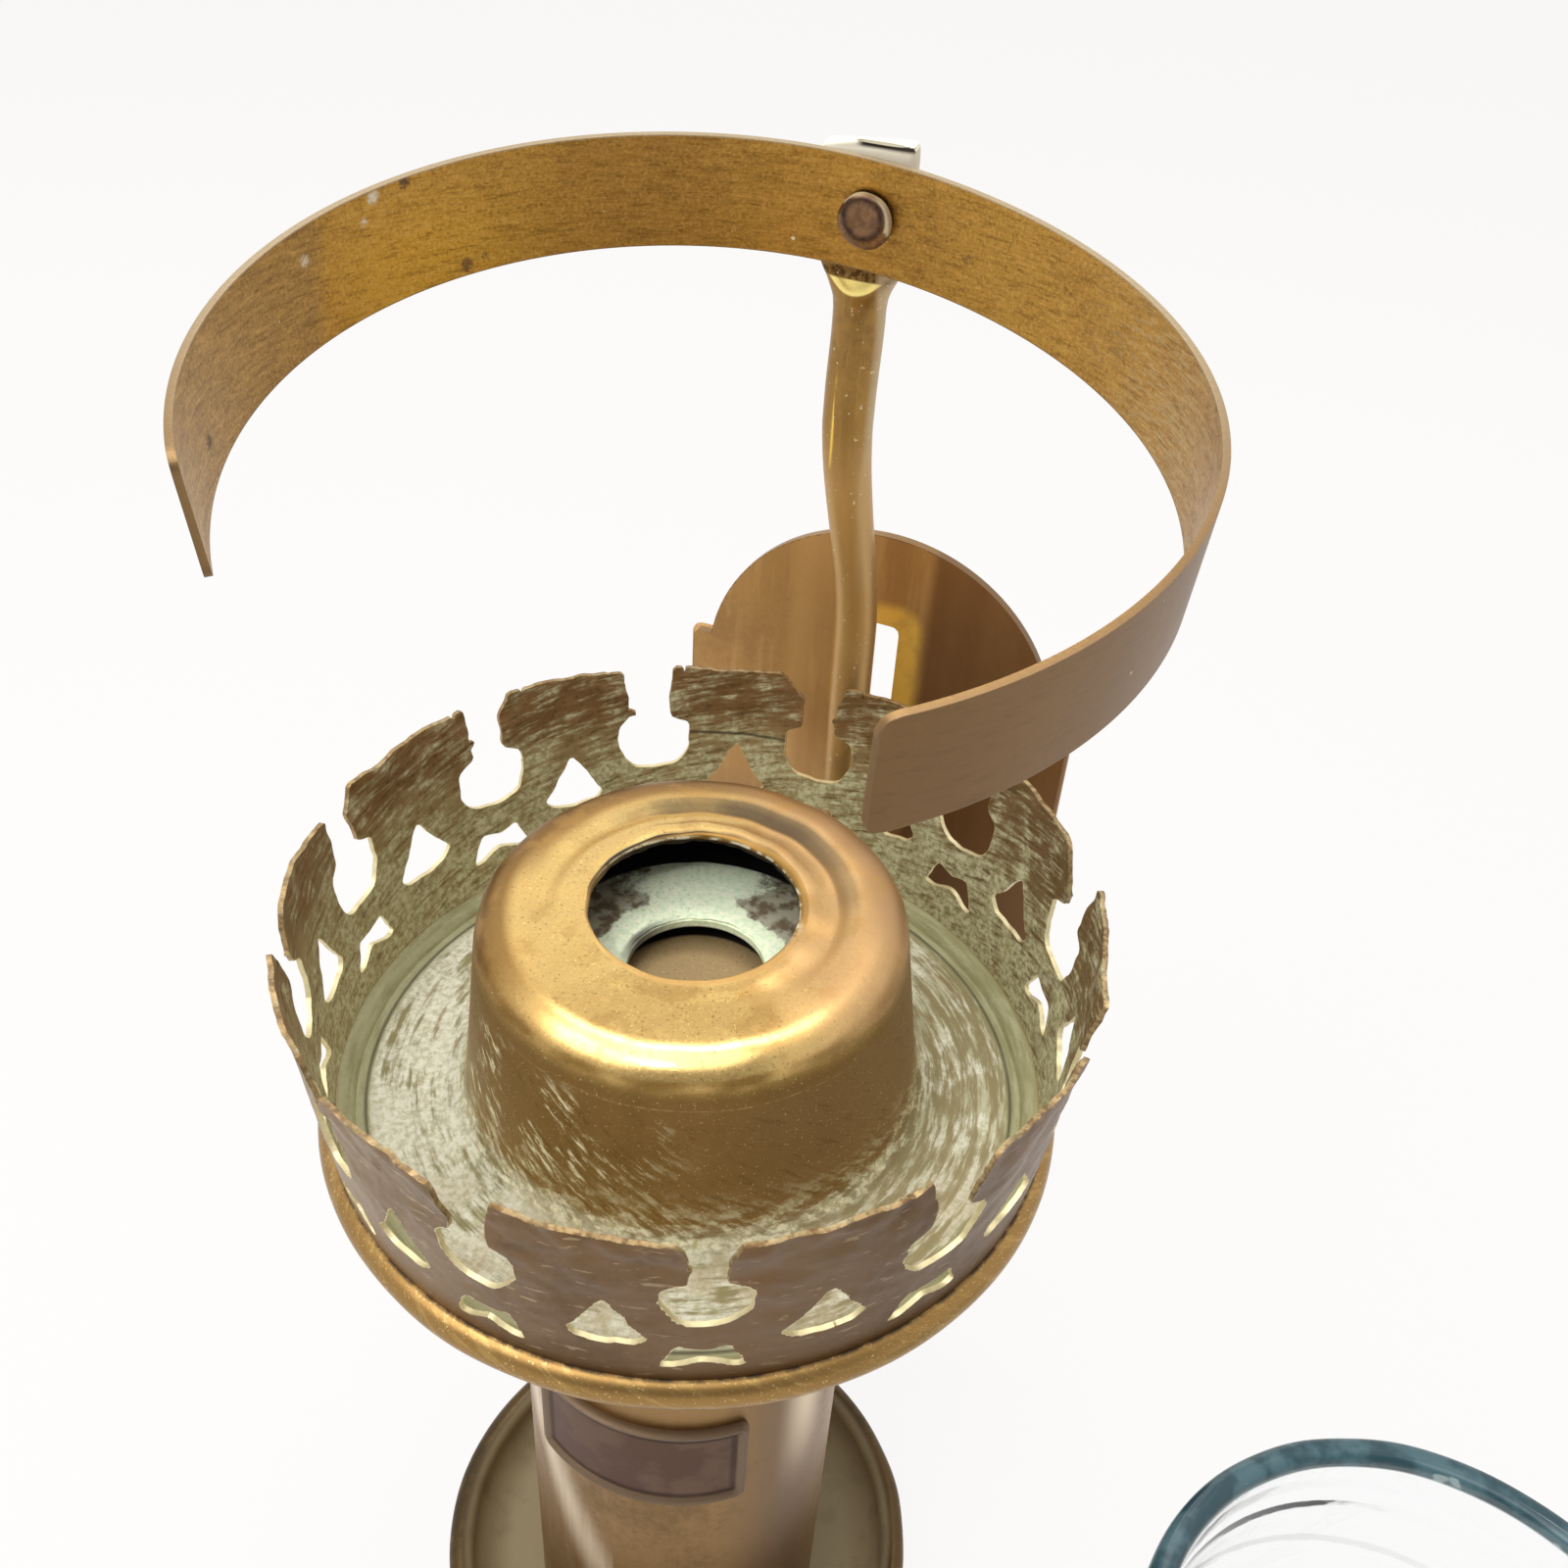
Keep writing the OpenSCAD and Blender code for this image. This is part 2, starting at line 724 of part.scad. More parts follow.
// The rod: upright from the shelf, leaning in above the gallery, and flattened at its
// head, where the squashed end stays open as a slit
module lamp_rod() {
    straight = [-rod_set, rod_head_y, rod_straight_z];
    bend = [0, rod_y, rod_bend_z];
    foot = [0, rod_y, shelf_z - nut_h - foot_proud];
    top = [-rod_set, rod_head_y, rod_head_z + head_lap];
    middle = paddle_near + paddle_t / 2;
    wide = rod_d / 2 + paddle_edge;
    color(brass) {
        bar(foot, bend, rod_d / 2);
        translate(bend)
            sphere(d = rod_d + knuckle);
        bar(bend, straight, rod_d / 2);
        translate(straight)
            sphere(d = rod_d + knuckle);
        intersection() {
            bar(straight, top, rod_d / 2);
            at_ring_rivet()
                translate([-rod_d, 0, 0])
                    rotate([90, 0, 90])
                        linear_extrude(height = 2 * rod_d)
                            polygon([
                                [middle - 2 * rod_d, rod_straight_z - ring_z - rod_d],
                                [middle + 2 * rod_d, rod_straight_z - ring_z - rod_d],
                                [middle + wide, -paddle_down],
                                [middle + paddle_t / 2, -paddle_down + paddle_bevel],
                                [middle + paddle_t / 2, 0],
                                [middle - paddle_t / 2, 0],
                                [middle - paddle_t / 2, -paddle_down + paddle_bevel],
                                [middle - wide, -paddle_down]
                            ]);
        }
        difference() {
            at_ring_rivet()
                translate([0, paddle_near + paddle_t, 0])
                    rotate([90, 0, 0])
                        linear_extrude(height = paddle_t)
                            polygon([
                                [-paddle_w / 2, paddle_up], [paddle_w / 2, paddle_up],
                                [paddle_w / 2, -paddle_full],
                                [paddle_foot / 2, -paddle_down],
                                [-paddle_foot / 2, -paddle_down],
                                [-paddle_w / 2, -paddle_full]
                            ]);
            at_ring_rivet()
                rotate([-90, 0, 0])
                    cylinder(d = ring_rivet_d, h = 3 * paddle_t);
            at_ring_rivet()
                translate([-paddle_w * slit_w_share / 2, middle - paddle_t * slit_t_share / 2,
                    paddle_up - slit_depth])
                    cube([paddle_w * slit_w_share, paddle_t * slit_t_share, slit_depth + past]);
        }
    }
}

module rod_collar() {
    color(brass)
        translate([0, rod_y, 0])
            band(rod_d / 2, collar_r, shelf_top, shelf_top + collar_h);
}

module rod_nut() {
    color(brass)
        translate([0, rod_y, shelf_z - nut_h])
            difference() {
                translate([-nut_w / 2, -nut_w / 2, 0])
                    cube([nut_w, nut_w, nut_h]);
                translate([0, 0, -past])
                    cylinder(d = rod_d, h = nut_h + 2 * past);
            }
}

// The spacer that the ring's strap turns against
module ring_washer() {
    color(brass)
        at_ring_rivet()
            translate([0, paddle_near, 0])
                rotate([90, 0, 0])
                    difference() {
                        cylinder(r = washer_r, h = washer_t);
                        translate([0, 0, -past])
                            cylinder(d = ring_rivet_d, h = washer_t + 2 * past);
                    }
}

// The rivet that the ring swivels on
module ring_rivet() {
    near = -ring_t / 2 - free_gap;
    back = paddle_near + paddle_t;
    color(dark_brass)
        at_ring_rivet()
            rotate([-90, 0, 0]) {
                translate([0, 0, near])
                    cylinder(d = ring_rivet_d, h = back - near);
                translate([0, 0, near - ring_head_h])
                    cylinder(d1 = ring_head_d * ring_head_share, d2 = ring_head_d, h = ring_head_h);
                translate([0, 0, back])
                    cylinder(d1 = ring_head_d * ring_head_share, d2 = ring_head_d * ring_tail_share,
                        h = ring_tail_h);
            }
}

// The open ring: a flat strap bent round, with square ends and a hole for its rivet
module retaining_ring() {
    color(brown_brass)
        at_ring_rivet()
            rotate([0, ring_dip, 0])
                difference() {
                    translate([0, -ring_r, 0])
                        band(ring_r - ring_t / 2, ring_r + ring_t / 2, -ring_h / 2, ring_h / 2,
                            90 - ring_right, 90 + ring_left);
                    rotate([90, 0, 0])
                        cylinder(r = ring_rivet_d / 2 + run_gap, h = 4 * ring_t, center = true);
                }
}

// The space inside the glass's outer or inner face, as a half section
module glass_side(inset) {
    flare = glass_foot_r - glass_body_r;
    sweep_r = (flare ^ 2 + flare_h ^ 2) / (2 * flare);
    neck_z = glass_h - rim_drop;
    lead = inset > 0 ? past : 0;
    difference() {
        polygon([
            [0, -lead], [glass_foot_r - inset, -lead], [glass_foot_r - inset, foot_lip],
            [glass_body_r - inset, flare_h + foot_lip], [glass_body_r - inset, neck_z],
            [glass_rim_r - inset, neck_z + rim_lead], [glass_rim_r - inset, glass_h + lead],
            [0, glass_h + lead]
        ]);
        translate([glass_body_r + sweep_r, flare_h + foot_lip])
            circle(r = sweep_r + inset, $fn = 240);
    }
}

// The glass chimney: a straight body on a flared foot, with a ground rim
module glass_chimney() {
    color(glass_green, 0.5)
        translate([glass_x, -glass_front, 0])
            rotate_extrude()
                difference() {
                    glass_side(0);
                    glass_side(glass_wall);
                }
}

base_dish();
spring_seat();
candle_tube();
stop_ring();
gallery_pins();
nozzle_pins();
name_plate();
candle_spring();
follower_cup();
nozzle_cap();
gallery_dish();
gallery_crown();
gallery_sleeve();
wall_plate();
standoff_bracket();
bracket_rivets();
lamp_rod();
rod_collar();
rod_nut();
ring_washer();
ring_rivet();
retaining_ring();
glass_chimney();
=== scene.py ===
# A railway carriage's candle lamp in aged brass, with its glass chimney taken off.
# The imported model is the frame. Each section below makes or finishes one piece.
import math

import bmesh
import bpy
import numpy as np
from mathutils import Matrix, Vector


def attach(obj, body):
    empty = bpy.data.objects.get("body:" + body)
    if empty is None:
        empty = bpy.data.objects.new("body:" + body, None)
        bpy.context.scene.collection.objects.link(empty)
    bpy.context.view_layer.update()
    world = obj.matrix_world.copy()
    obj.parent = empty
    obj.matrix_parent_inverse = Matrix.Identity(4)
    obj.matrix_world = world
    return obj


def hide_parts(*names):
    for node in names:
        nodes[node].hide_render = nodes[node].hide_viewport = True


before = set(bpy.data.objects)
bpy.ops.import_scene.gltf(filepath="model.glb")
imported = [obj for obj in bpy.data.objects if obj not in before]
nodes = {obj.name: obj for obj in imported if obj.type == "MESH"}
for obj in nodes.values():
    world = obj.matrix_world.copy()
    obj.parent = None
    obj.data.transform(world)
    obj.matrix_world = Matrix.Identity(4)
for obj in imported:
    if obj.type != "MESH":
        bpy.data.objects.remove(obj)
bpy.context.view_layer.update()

# The view: a camera held close above the lamp, looking down into the gallery from the
# front right, with the frame turned a few degrees.
camera = bpy.data.objects.new("camera", bpy.data.cameras.new("camera"))
camera.data.lens = 33.75
camera.data.sensor_width = 36
camera.data.clip_start = 0.01
yaw = math.radians(-20.54)
pitch = math.radians(36.494)
roll = math.radians(4.119)
ahead = Vector((math.sin(yaw) * math.cos(pitch), math.cos(yaw) * math.cos(pitch), -math.sin(pitch)))
level = ahead.cross(Vector((0, 0, 1))).normalized()
upright = level.cross(ahead)
right = level * math.cos(roll) + upright * math.sin(roll)
top = upright * math.cos(roll) - level * math.sin(roll)
turned_camera = Matrix((right, top, -ahead)).transposed().to_4x4()
camera.matrix_world = Matrix.Translation((0.04410, -0.09666, 0.21653)) @ turned_camera
bpy.context.scene.collection.objects.link(camera)
bpy.context.scene.camera = camera


# The saucer base is spun from brass sheet, with its rim rolled over. Handling has rubbed
# the rim, and the hollow is grey-green. It is soldered to the foot of the column.
class Reading:
    """One output in a node tree. Sums written on it add Math nodes to that tree."""

    def __init__(self, sheet, port):
        self.sheet = sheet
        self.port = port

    def maths(self, operation, *values):
        return self.sheet.node("ShaderNodeMath", {"operation": operation}, dict(enumerate(values)))

    def __add__(self, other):
        return self.maths("ADD", self, other)

    def __radd__(self, other):
        return self.maths("ADD", other, self)

    def __sub__(self, other):
        return self.maths("SUBTRACT", self, other)

    def __rsub__(self, other):
        return self.maths("SUBTRACT", other, self)

    def __mul__(self, other):
        return self.maths("MULTIPLY", self, other)

    def __rmul__(self, other):
        return self.maths("MULTIPLY", other, self)

    def __truediv__(self, other):
        return self.maths("DIVIDE", self, other)

    def __rtruediv__(self, other):
        return self.maths("DIVIDE", other, self)

    def __pow__(self, other):
        return self.maths("POWER", self, other)

    def least(self, other):
        return self.maths("MINIMUM", self, other)

    def most(self, other):
        return self.maths("MAXIMUM", self, other)

    def rise(self, low, high):
        """0 below low and 1 above high, with a smooth step between. It falls where low > high."""
        ends = {"Value": self, "From Min": low, "From Max": high}
        return self.sheet.node("ShaderNodeMapRange", {"interpolation_type": "SMOOTHSTEP"}, ends)

    def bell(self, middle, reach):
        """1 at middle, falling to 0 at reach from it."""
        return (self - middle).maths("ABSOLUTE", self - middle).rise(reach, 0)


class Sheet:
    """A node tree that is written node by node."""

    def __init__(self, tree):
        self.tree = tree

    def node(self, kind, settings=None, inputs=None, output=0):
        made = self.tree.nodes.new(kind)
        for name, value in (settings or {}).items():
            setattr(made, name, value)
        for name, value in (inputs or {}).items():
            if isinstance(value, Reading):
                self.tree.links.new(value.port, made.inputs[name])
            else:
                made.inputs[name].default_value = value
        return Reading(self, made.outputs[output])

    def parts(self, vector):
        split = self.node("ShaderNodeSeparateXYZ", None, {0: vector})
        return [Reading(self, port) for port in split.port.node.outputs]


def tint(red, green, blue):
    """A colour as it looks on a screen, 0 to 255, as the shader's linear numbers."""
    shares = [value / 255 for value in (red, green, blue)]
    return [s / 12.92 if s < 0.04045 else ((s + 0.055) / 1.055) ** 2.4 for s in shares] + [1]


class Finish(Sheet):
    """A material. Its patterns lie on the piece itself, and are sized in millimetres."""

    def __init__(self, name, **constants):
        self.material = bpy.data.materials.new(name)
        self.material.use_nodes = True
        super().__init__(self.material.node_tree)
        self.tree.nodes.clear()
        self.shader = self.tree.nodes.new("ShaderNodeBsdfPrincipled")
        output = self.tree.nodes.new("ShaderNodeOutputMaterial")
        self.tree.links.new(self.shader.outputs["BSDF"], output.inputs["Surface"])
        for name, value in constants.items():
            self.shader.inputs[name.replace("_", " ")].default_value = value
        metres = self.node("ShaderNodeTexCoord", None, None, "Object")
        self.place = self.node("ShaderNodeVectorMath", {"operation": "SCALE"}, {0: metres, "Scale": 1000})
        self.x, self.y, self.z = self.parts(self.place)

    def round_about(self, x=0, y=0):
        """The turn from the back in radians and the distance in mm, about an upright axis."""
        out = (self.x - x, self.y - y)
        turn = out[0].maths("ARCTAN2", *out)
        return turn, ((out[0] * out[0]) + (out[1] * out[1])) ** 0.5

    def noise(self, cells, detail=4, rough=0.55, stretch=(1, 1, 1), shift=0, place=None):
        """Smooth noise from 0 to 1 with so many cells in a millimetre."""
        scale = [cells * s for s in stretch]
        at = self.node("ShaderNodeMapping", None,
                       {"Vector": place or self.place, "Scale": scale, "Location": (shift,) * 3})
        sizes = {"Vector": at, "Scale": 1, "Detail": detail, "Roughness": rough}
        return self.node("ShaderNodeTexNoise", None, sizes)

    def mix(self, share, first, second):
        return self.node("ShaderNodeMix", {"data_type": "RGBA"}, {0: share, 6: first, 7: second}, 2)

    def mark(self, name):
        """A number that the mesh holds at each point."""
        return self.node("ShaderNodeAttribute", {"attribute_name": name}, None, "Fac")

    def wear(self, **values):
        for name, value in values.items():
            self.tree.links.new(value.port, self.shader.inputs[name.replace("_", " ")])

    def relief(self, height, depth):
        """Bumps of that height, with depth in mm."""
        sizes = {"Height": height, "Distance": depth / 1000, "Strength": 1}
        bump = self.node("ShaderNodeBump", None, sizes)
        self.tree.links.new(bump.port, self.shader.inputs["Normal"])


class Brass(Finish):
    """Aged brass: a clean colour under dull stains, fine grain and dark pits."""

    def __init__(self, name, clean, dull, stain=0.5, shift=0, pits=0.5, grain=0.25):
        super().__init__(name, IOR=1.5)
        cloud = self.noise(0.055, 5, 0.6, shift=shift)
        self.fine = self.noise(0.9, 6, 0.7, shift=shift)
        self.dullness = (cloud * 0.7 + self.fine * 0.3).rise(0.62 - stain * 0.35, 0.82 - stain * 0.35)
        self.colour = self.mix(self.dullness, tint(*clean), tint(*dull))
        self.rough = 0.3 + self.dullness * 0.14 + self.fine * 0.08
        self.metal = 1 - self.dullness * 0.1
        self.height = self.fine * 0.5
        speck = self.noise(3.4, 2, 0.6, shift=shift + 7)
        self.coat(speck.rise(0.6, 0.74) * grain, [min(255, c * 1.22) for c in clean])
        self.coat(speck.rise(0.4, 0.27) * grain, [c * 0.62 for c in dull])
        pit = self.noise(2.1, 3, 0.6, shift=shift + 7).rise(0.66, 0.76) * pits
        self.coat(pit * 0.6, (58, 42, 26), 0.6, 0.6)
        self.height = self.height - pit * 0.6

    def coat(self, share, colour, rough=None, metal=None):
        """Lays a colour over the metal where share is 1, with a gloss of its own."""
        if not isinstance(colour, Reading):
            colour = tint(*colour)
        self.colour = self.mix(share, self.colour, colour)
        if rough is not None:
            self.rough = self.rough + share * (rough - self.rough)
        if metal is not None:
            self.metal = self.metal + share * (metal - self.metal)

    def crust(self, share, pale=(196, 202, 176), green=(126, 136, 104), thick=1.0):
        """Verdigris where share is 1: matt, pale and grainy."""
        grain = self.noise(1.4, 5, 0.7, shift=31)
        self.coat(share, self.mix(grain.rise(0.36, 0.6), tint(*green), tint(*pale)), 0.85, 0)
        self.height = self.height + share * grain * 1.6 * thick

    def rub_and_highlight(self, share, bright=(226, 186, 104)):
        """Bright bare metal, as on worn edges; also used for painted highlights."""
        self.coat(share, bright, 0.26, 1)

    def facing(self):
        """How far the surface looks away from the upright axis, and how far it looks up."""
        outward = self.node("ShaderNodeTexCoord", None, None, "Normal")
        x, y, z = self.parts(outward)
        turn, out = self.round_about()
        return (x * self.x + y * self.y) / out, z

    def done(self, depth=0.03):
        self.wear(Base_Color=self.colour, Roughness=self.rough.least(1), Metallic=self.metal)
        self.relief(self.height, depth)
        return self.material


def softened(corners):
    """A closed line through (x, y, radius) corners, each rounded by its radius."""
    line = []
    for i, (x, y, radius) in enumerate(corners):
        here = Vector((x, y))
        before = Vector(corners[i - 1][:2]) - here
        after = Vector(corners[(i + 1) % len(corners)][:2]) - here
        if radius == 0:
            line.append((x, y))
            continue
        reach = radius / math.tan(before.angle(after) / 2)
        reach = min(reach, before.length * 0.49, after.length * 0.49)
        start = here + before.normalized() * reach
        end = here + after.normalized() * reach
        for step in range(9):
            t = step / 8
            line.append(tuple(start * (1 - t) ** 2 + here * 2 * t * (1 - t) + end * t * t))
    return line


def around(x, y, radius, first, last, steps):
    """Points on an arc, by angles in degrees from +X towards +Y."""
    turns = [math.radians(first + (last - first) * i / steps) for i in range(steps + 1)]
    return [(x + radius * math.cos(a), y + radius * math.sin(a)) for a in turns]


def dress(name, mesh, finish, body, slot, *stands_for, sharp=38):
    """Puts a finished mesh in the scene as a piece of that body."""
    mesh.shade_smooth()
    mesh.set_sharp_from_angle(angle=math.radians(sharp))
    mesh.materials.clear()
    mesh.materials.append(finish)
    piece = bpy.data.objects.new(name, mesh)
    bpy.context.scene.collection.objects.link(piece)
    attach(piece, body)
    if stands_for:
        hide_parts(*stands_for)
    return piece


def close_up(name, points, faces, place=None):
    """A mesh in metres from points in mm, with its doubles merged and faces turned outward."""
    shape = bmesh.new()
    corners = [shape.verts.new(Vector(p) / 1000) for p in points]
    for face in faces:
        shape.faces.new([corners[i] for i in face])
    bmesh.ops.remove_doubles(shape, verts=shape.verts, dist=1e-7)
    bmesh.ops.recalc_face_normals(shape, faces=shape.faces)
    mesh = bpy.data.meshes.new(name)
    shape.to_mesh(mesh)
    shape.free()
    if place:
        mesh.transform(place)
    return mesh


def spun(name, line, steps, drift=None, place=None):
    """Turns a closed line of (radius, height) about Z. drift(turn, r, z) moves its points."""
    points = []
    for i in range(steps):
        turn = 2 * math.pi * i / steps
        for r, z in line:
            if drift and r > 0:
                r, z = drift(turn, r, z)
            points.append((r * math.sin(turn), r * math.cos(turn), z))
    count = len(line)
    faces = []
    for i in range(steps):
        for k in range(count):
            a = i * count + k
            b = i * count + (k + 1) % count
            c = (i + 1) % steps * count
            faces.append((a, b, c + (k + 1) % count, c + k))
    mesh = close_up(name, points, faces, place)
    return mesh


def lump(turn, z, seed, pace=3):
    """A slow wander from -1 to 1 that closes on itself round the lamp."""
    draw = np.random.default_rng(seed)
    total = 0
    for wave in range(1, 7):
        phase, lean, size = draw.uniform(0, 6.283), draw.uniform(-0.2, 0.2), draw.uniform(0.4, 1)
        total += size * math.sin(wave * pace * turn + phase + z * lean)
    return total / 4


BASE_SHEET = 0.8
BASE_FOOT = 24
BASE_RIM = (30.7, 5.2, 1.7)
side_r = ((BASE_RIM[0] - BASE_FOOT) ** 2 + BASE_RIM[1] ** 2) / (2 * BASE_RIM[1])
saucer = [(0, 0)]
saucer += around(BASE_FOOT, side_r, side_r, -90, -28, 16)
saucer += around(*BASE_RIM, -100, 176, 30)
saucer += around(BASE_FOOT, side_r, side_r - BASE_SHEET, -24, -90, 16)
saucer += [(19.5, BASE_SHEET), (0, BASE_SHEET)]


def saucer_drift(turn, r, z):
    return r - 0.12 * (1 + lump(turn, z, 3)) * (r / 31) ** 4, z


base_finish = Brass("saucer_brass", (92, 74, 50), (70, 58, 40), 0.5, 3)
turn, out = base_finish.round_about()
hollow = out.rise(30.6, 29.4) * base_finish.z.rise(0.4, 0.7)
film = base_finish.noise(0.2, 4, 0.6, shift=12)
base_finish.coat(hollow * 0.9, (152, 138, 106), 0.6, 0.1)
base_finish.coat(hollow * film.rise(0.5, 0.68) * 0.4, (116, 104, 78), 0.5, 0.3)
base_finish.rub_and_highlight(out.rise(31.2, 32.2) * base_finish.noise(0.5).rise(0.5, 0.75) * 0.35, (176, 142, 88))
dress("saucer", spun("saucer", saucer, 192, saucer_drift), base_finish.done(), "lamp",
      "saucer_brass", "base_dish")


# The column is a drawn brass tube. It carries the stop ring that the gallery stands on,
# the pins of the two bayonets, and the seat that closes its foot.
def refinish(finish, slot, *names):
    for name in names:
        nodes[name].data.materials.clear()
        nodes[name].data.materials.append(finish)


column = Brass("column_brass", (156, 122, 76), (130, 102, 64), 0.45, 21, 0.4)
turn, out = column.round_about()
drawn = column.noise(1.1, 3, 0.5, (1, 1, 0.06), 5)
column.coat(drawn.rise(0.45, 0.75) * 0.2, (174, 140, 92))
# Painted highlight: a pale streak down the left of the column, bending a little with height.
highlight_turn = turn - (column.z.least(56) - 51) * math.radians(1.3)
column.coat(highlight_turn.bell(math.radians(-143), math.radians(16)) * (0.4 + drawn * 0.5), (250, 232, 204), 0.36, 0.8)
# Painted shade: the right side of the column is darker.
column.coat(turn.bell(math.radians(112), math.radians(36)) * 0.75, (112, 84, 58))
# Painted highlight: a pale streak high up on the right side.
upper = column.z.rise(40, 62)
column.coat(turn.bell(math.radians(108), math.radians(14)) * upper * 0.8, (250, 228, 196), 0.36, 0.8)
column.rough = column.rough + drawn * 0.06
column.crust(column.z.rise(9, 1) * column.noise(0.4).rise(0.35, 0.6) * 0.5, (150, 146, 118))
refinish(column.done(), "column_brass", "candle_tube")

inner = Brass("inner_brass", (146, 114, 68), (104, 82, 54), 0.6, 40)
inner.crust(inner.noise(0.25, 5, 0.6, shift=3).rise(0.52, 0.68) * 0.5)
inner_brass = inner.done()
refinish(inner_brass, "inner_brass", "spring_seat", "stop_ring", "gallery_sleeve", "standoff_bracket")

wire = Finish("spring_steel", Metallic=1)
oil = wire.noise(0.6, 5, 0.6)
wire.wear(Base_Color=wire.mix(oil.rise(0.4, 0.7), tint(150, 148, 142), tint(92, 76, 62)),
          Roughness=0.28 + oil * 0.2)
wire.relief(oil, 0.02)
refinish(wire.material, "spring_steel", "gallery_pins", "nozzle_pins", "candle_spring")


# The name plate is a small pressed plate, bent to the column and soldered on. Its frame
# stands proud of a dark reddish field, which is left bare.
class Maker(Sheet):
    """A Geometry Nodes tree with named sizes. run() gives a plain mesh made by it."""

    def __init__(self, name, **sizes):
        tree = bpy.data.node_groups.new(name, "GeometryNodeTree")
        tree.interface.new_socket("Shape", in_out="INPUT", socket_type="NodeSocketGeometry")
        tree.interface.new_socket("Shape", in_out="OUTPUT", socket_type="NodeSocketGeometry")
        tree.interface.new_socket("Finish", in_out="INPUT", socket_type="NodeSocketMaterial")
        for label, value in sizes.items():
            kind = "NodeSocketInt" if isinstance(value, int) else "NodeSocketFloat"
            made = tree.interface.new_socket(label, in_out="INPUT", socket_type=kind)
            made.default_value = value
        super().__init__(tree)
        self.sizes = tree.nodes.new("NodeGroupInput")
        self.result = tree.nodes.new("NodeGroupOutput")
        self.shape = self.size("Shape")

    def size(self, label):
        return Reading(self, self.sizes.outputs[label])

    def move(self, x, y, z):
        """Puts each point at x, y and z, worked out in mm."""
        place = self.node("ShaderNodeCombineXYZ", None, {"X": x / 1000, "Y": y / 1000, "Z": z / 1000})
        self.shape = self.node("GeometryNodeSetPosition", None,
                               {"Geometry": self.shape, "Position": place})

    def finish(self):
        self.shape = self.node("GeometryNodeMergeByDistance", None,
                               {"Geometry": self.shape, "Distance": 1e-6})
        self.shape = self.node("GeometryNodeRealizeInstances", None, {0: self.shape})
        self.shape = self.node("GeometryNodeSetMaterial", None,
                               {"Geometry": self.shape, "Material": self.size("Finish")})
        self.tree.links.new(self.shape.port, self.result.inputs["Shape"])

    def run(self, name, start, finish, **sizes):
        holder = bpy.data.objects.new(name + "_blank", start)
        bpy.context.scene.collection.objects.link(holder)
        modifier = holder.modifiers.new("maker", "NODES")
        modifier.node_group = self.tree
        given = {"Finish": finish, **sizes}
        for item in self.tree.interface.items_tree:
            if item.in_out == "INPUT" and item.name in given:
                modifier[item.identifier] = given[item.name]
        bpy.context.view_layer.update()
        settled = holder.evaluated_get(bpy.context.evaluated_depsgraph_get())
        mesh = bpy.data.meshes.new_from_object(settled)
        mesh.name = name
        bpy.data.objects.remove(holder)
        return mesh


def stamped(name, low, high, cell, keep, thick, seams=False, relief=None):
    """A blank of sheet metal in X and Z, cut where keep(x, z) is below 0.

    Its front is at Y = -thick and its back at 0. Marks: "cut" on edges, "side" 1 in front.
    """
    counts = [max(2, round((high[i] - low[i]) / cell)) for i in (0, 1)]
    xs = np.linspace(low[0], high[0], counts[0] + 1)
    zs = np.linspace(low[1], high[1], counts[1] + 1)
    value = keep(*np.meshgrid(xs, zs, indexing="ij"))
    value = np.where(np.abs(value) < 1e-4, 1e-4, value)
    points, known, faces = [], {}, []

    def corner(i, k):
        if (i, k) not in known:
            known[i, k] = len(points)
            points.append((xs[i], zs[k]))
        return known[i, k]

    def crossing(a, b):
        key = (min(a, b), max(a, b))
        if key not in known:
            share = value[key[0]] / (value[key[0]] - value[key[1]])
            known[key] = len(points)
            points.append(tuple(
                (1 - share) * p + share * q
                for p, q in zip((xs[key[0][0]], zs[key[0][1]]), (xs[key[1][0]], zs[key[1][1]]))))
        return known[key]

    for i in range(counts[0]):
        for k in range(counts[1]):
            cell_corners = [(i, k), (i + 1, k), (i + 1, k + 1), (i, k + 1)]
            if max(value[c] for c in cell_corners) < 0:
                continue
            face = []
            for here, following in zip(cell_corners, cell_corners[1:] + cell_corners[:1]):
                if value[here] > 0:
                    face.append(corner(*here))
                if value[here] * value[following] < 0:
                    face.append(crossing(here, following))
            if len(face) > 2:
                faces.append(face)
    used = {}
    for face in faces:
        for a, b in zip(face, face[1:] + face[:1]):
            used[frozenset((a, b))] = used.get(frozenset((a, b)), []) + [(a, b)]
    rim = [pair[0] for pair in used.values() if len(pair) == 1]
    if seams:
        rim = [(a, b) for a, b in rim
               if abs(points[a][0] - points[b][0]) > 1e-6 or low[0] < points[a][0] < high[0]]
    total = len(points)
    lift = relief or (lambda x, z: thick)
    solid = [(x, -lift(x, z), z) for x, z in points] + [(x, 0, z) for x, z in points]
    walls = [(b, a, a + total, b + total) for a, b in rim]
    backs = [[i + total for i in reversed(face)] for face in faces]
    mesh = bpy.data.meshes.new(name)
    mesh.from_pydata([Vector(p) / 1000 for p in solid], [], faces + walls + backs)
    cut = np.zeros(len(solid), np.float32)
    for a, b in rim:
        cut[[a, b, a + total, b + total]] = 1
    side = np.repeat([1, 0], total).astype(np.float32)
    for label, numbers in (("cut", cut), ("side", side)):
        mesh.attributes.new(label, "FLOAT", "POINT").data.foreach_set("value", numbers)
    return mesh


def block(x, z, wide, tall, corner=0.0):
    """How far inside a rounded rectangle about the middle each point lies."""
    across = np.abs(x) - wide / 2 + corner
    along = np.abs(z) - tall / 2 + corner
    outside = np.hypot(np.maximum(across, 0), np.maximum(along, 0))
    return corner - outside - np.minimum(np.maximum(across, along), 0)


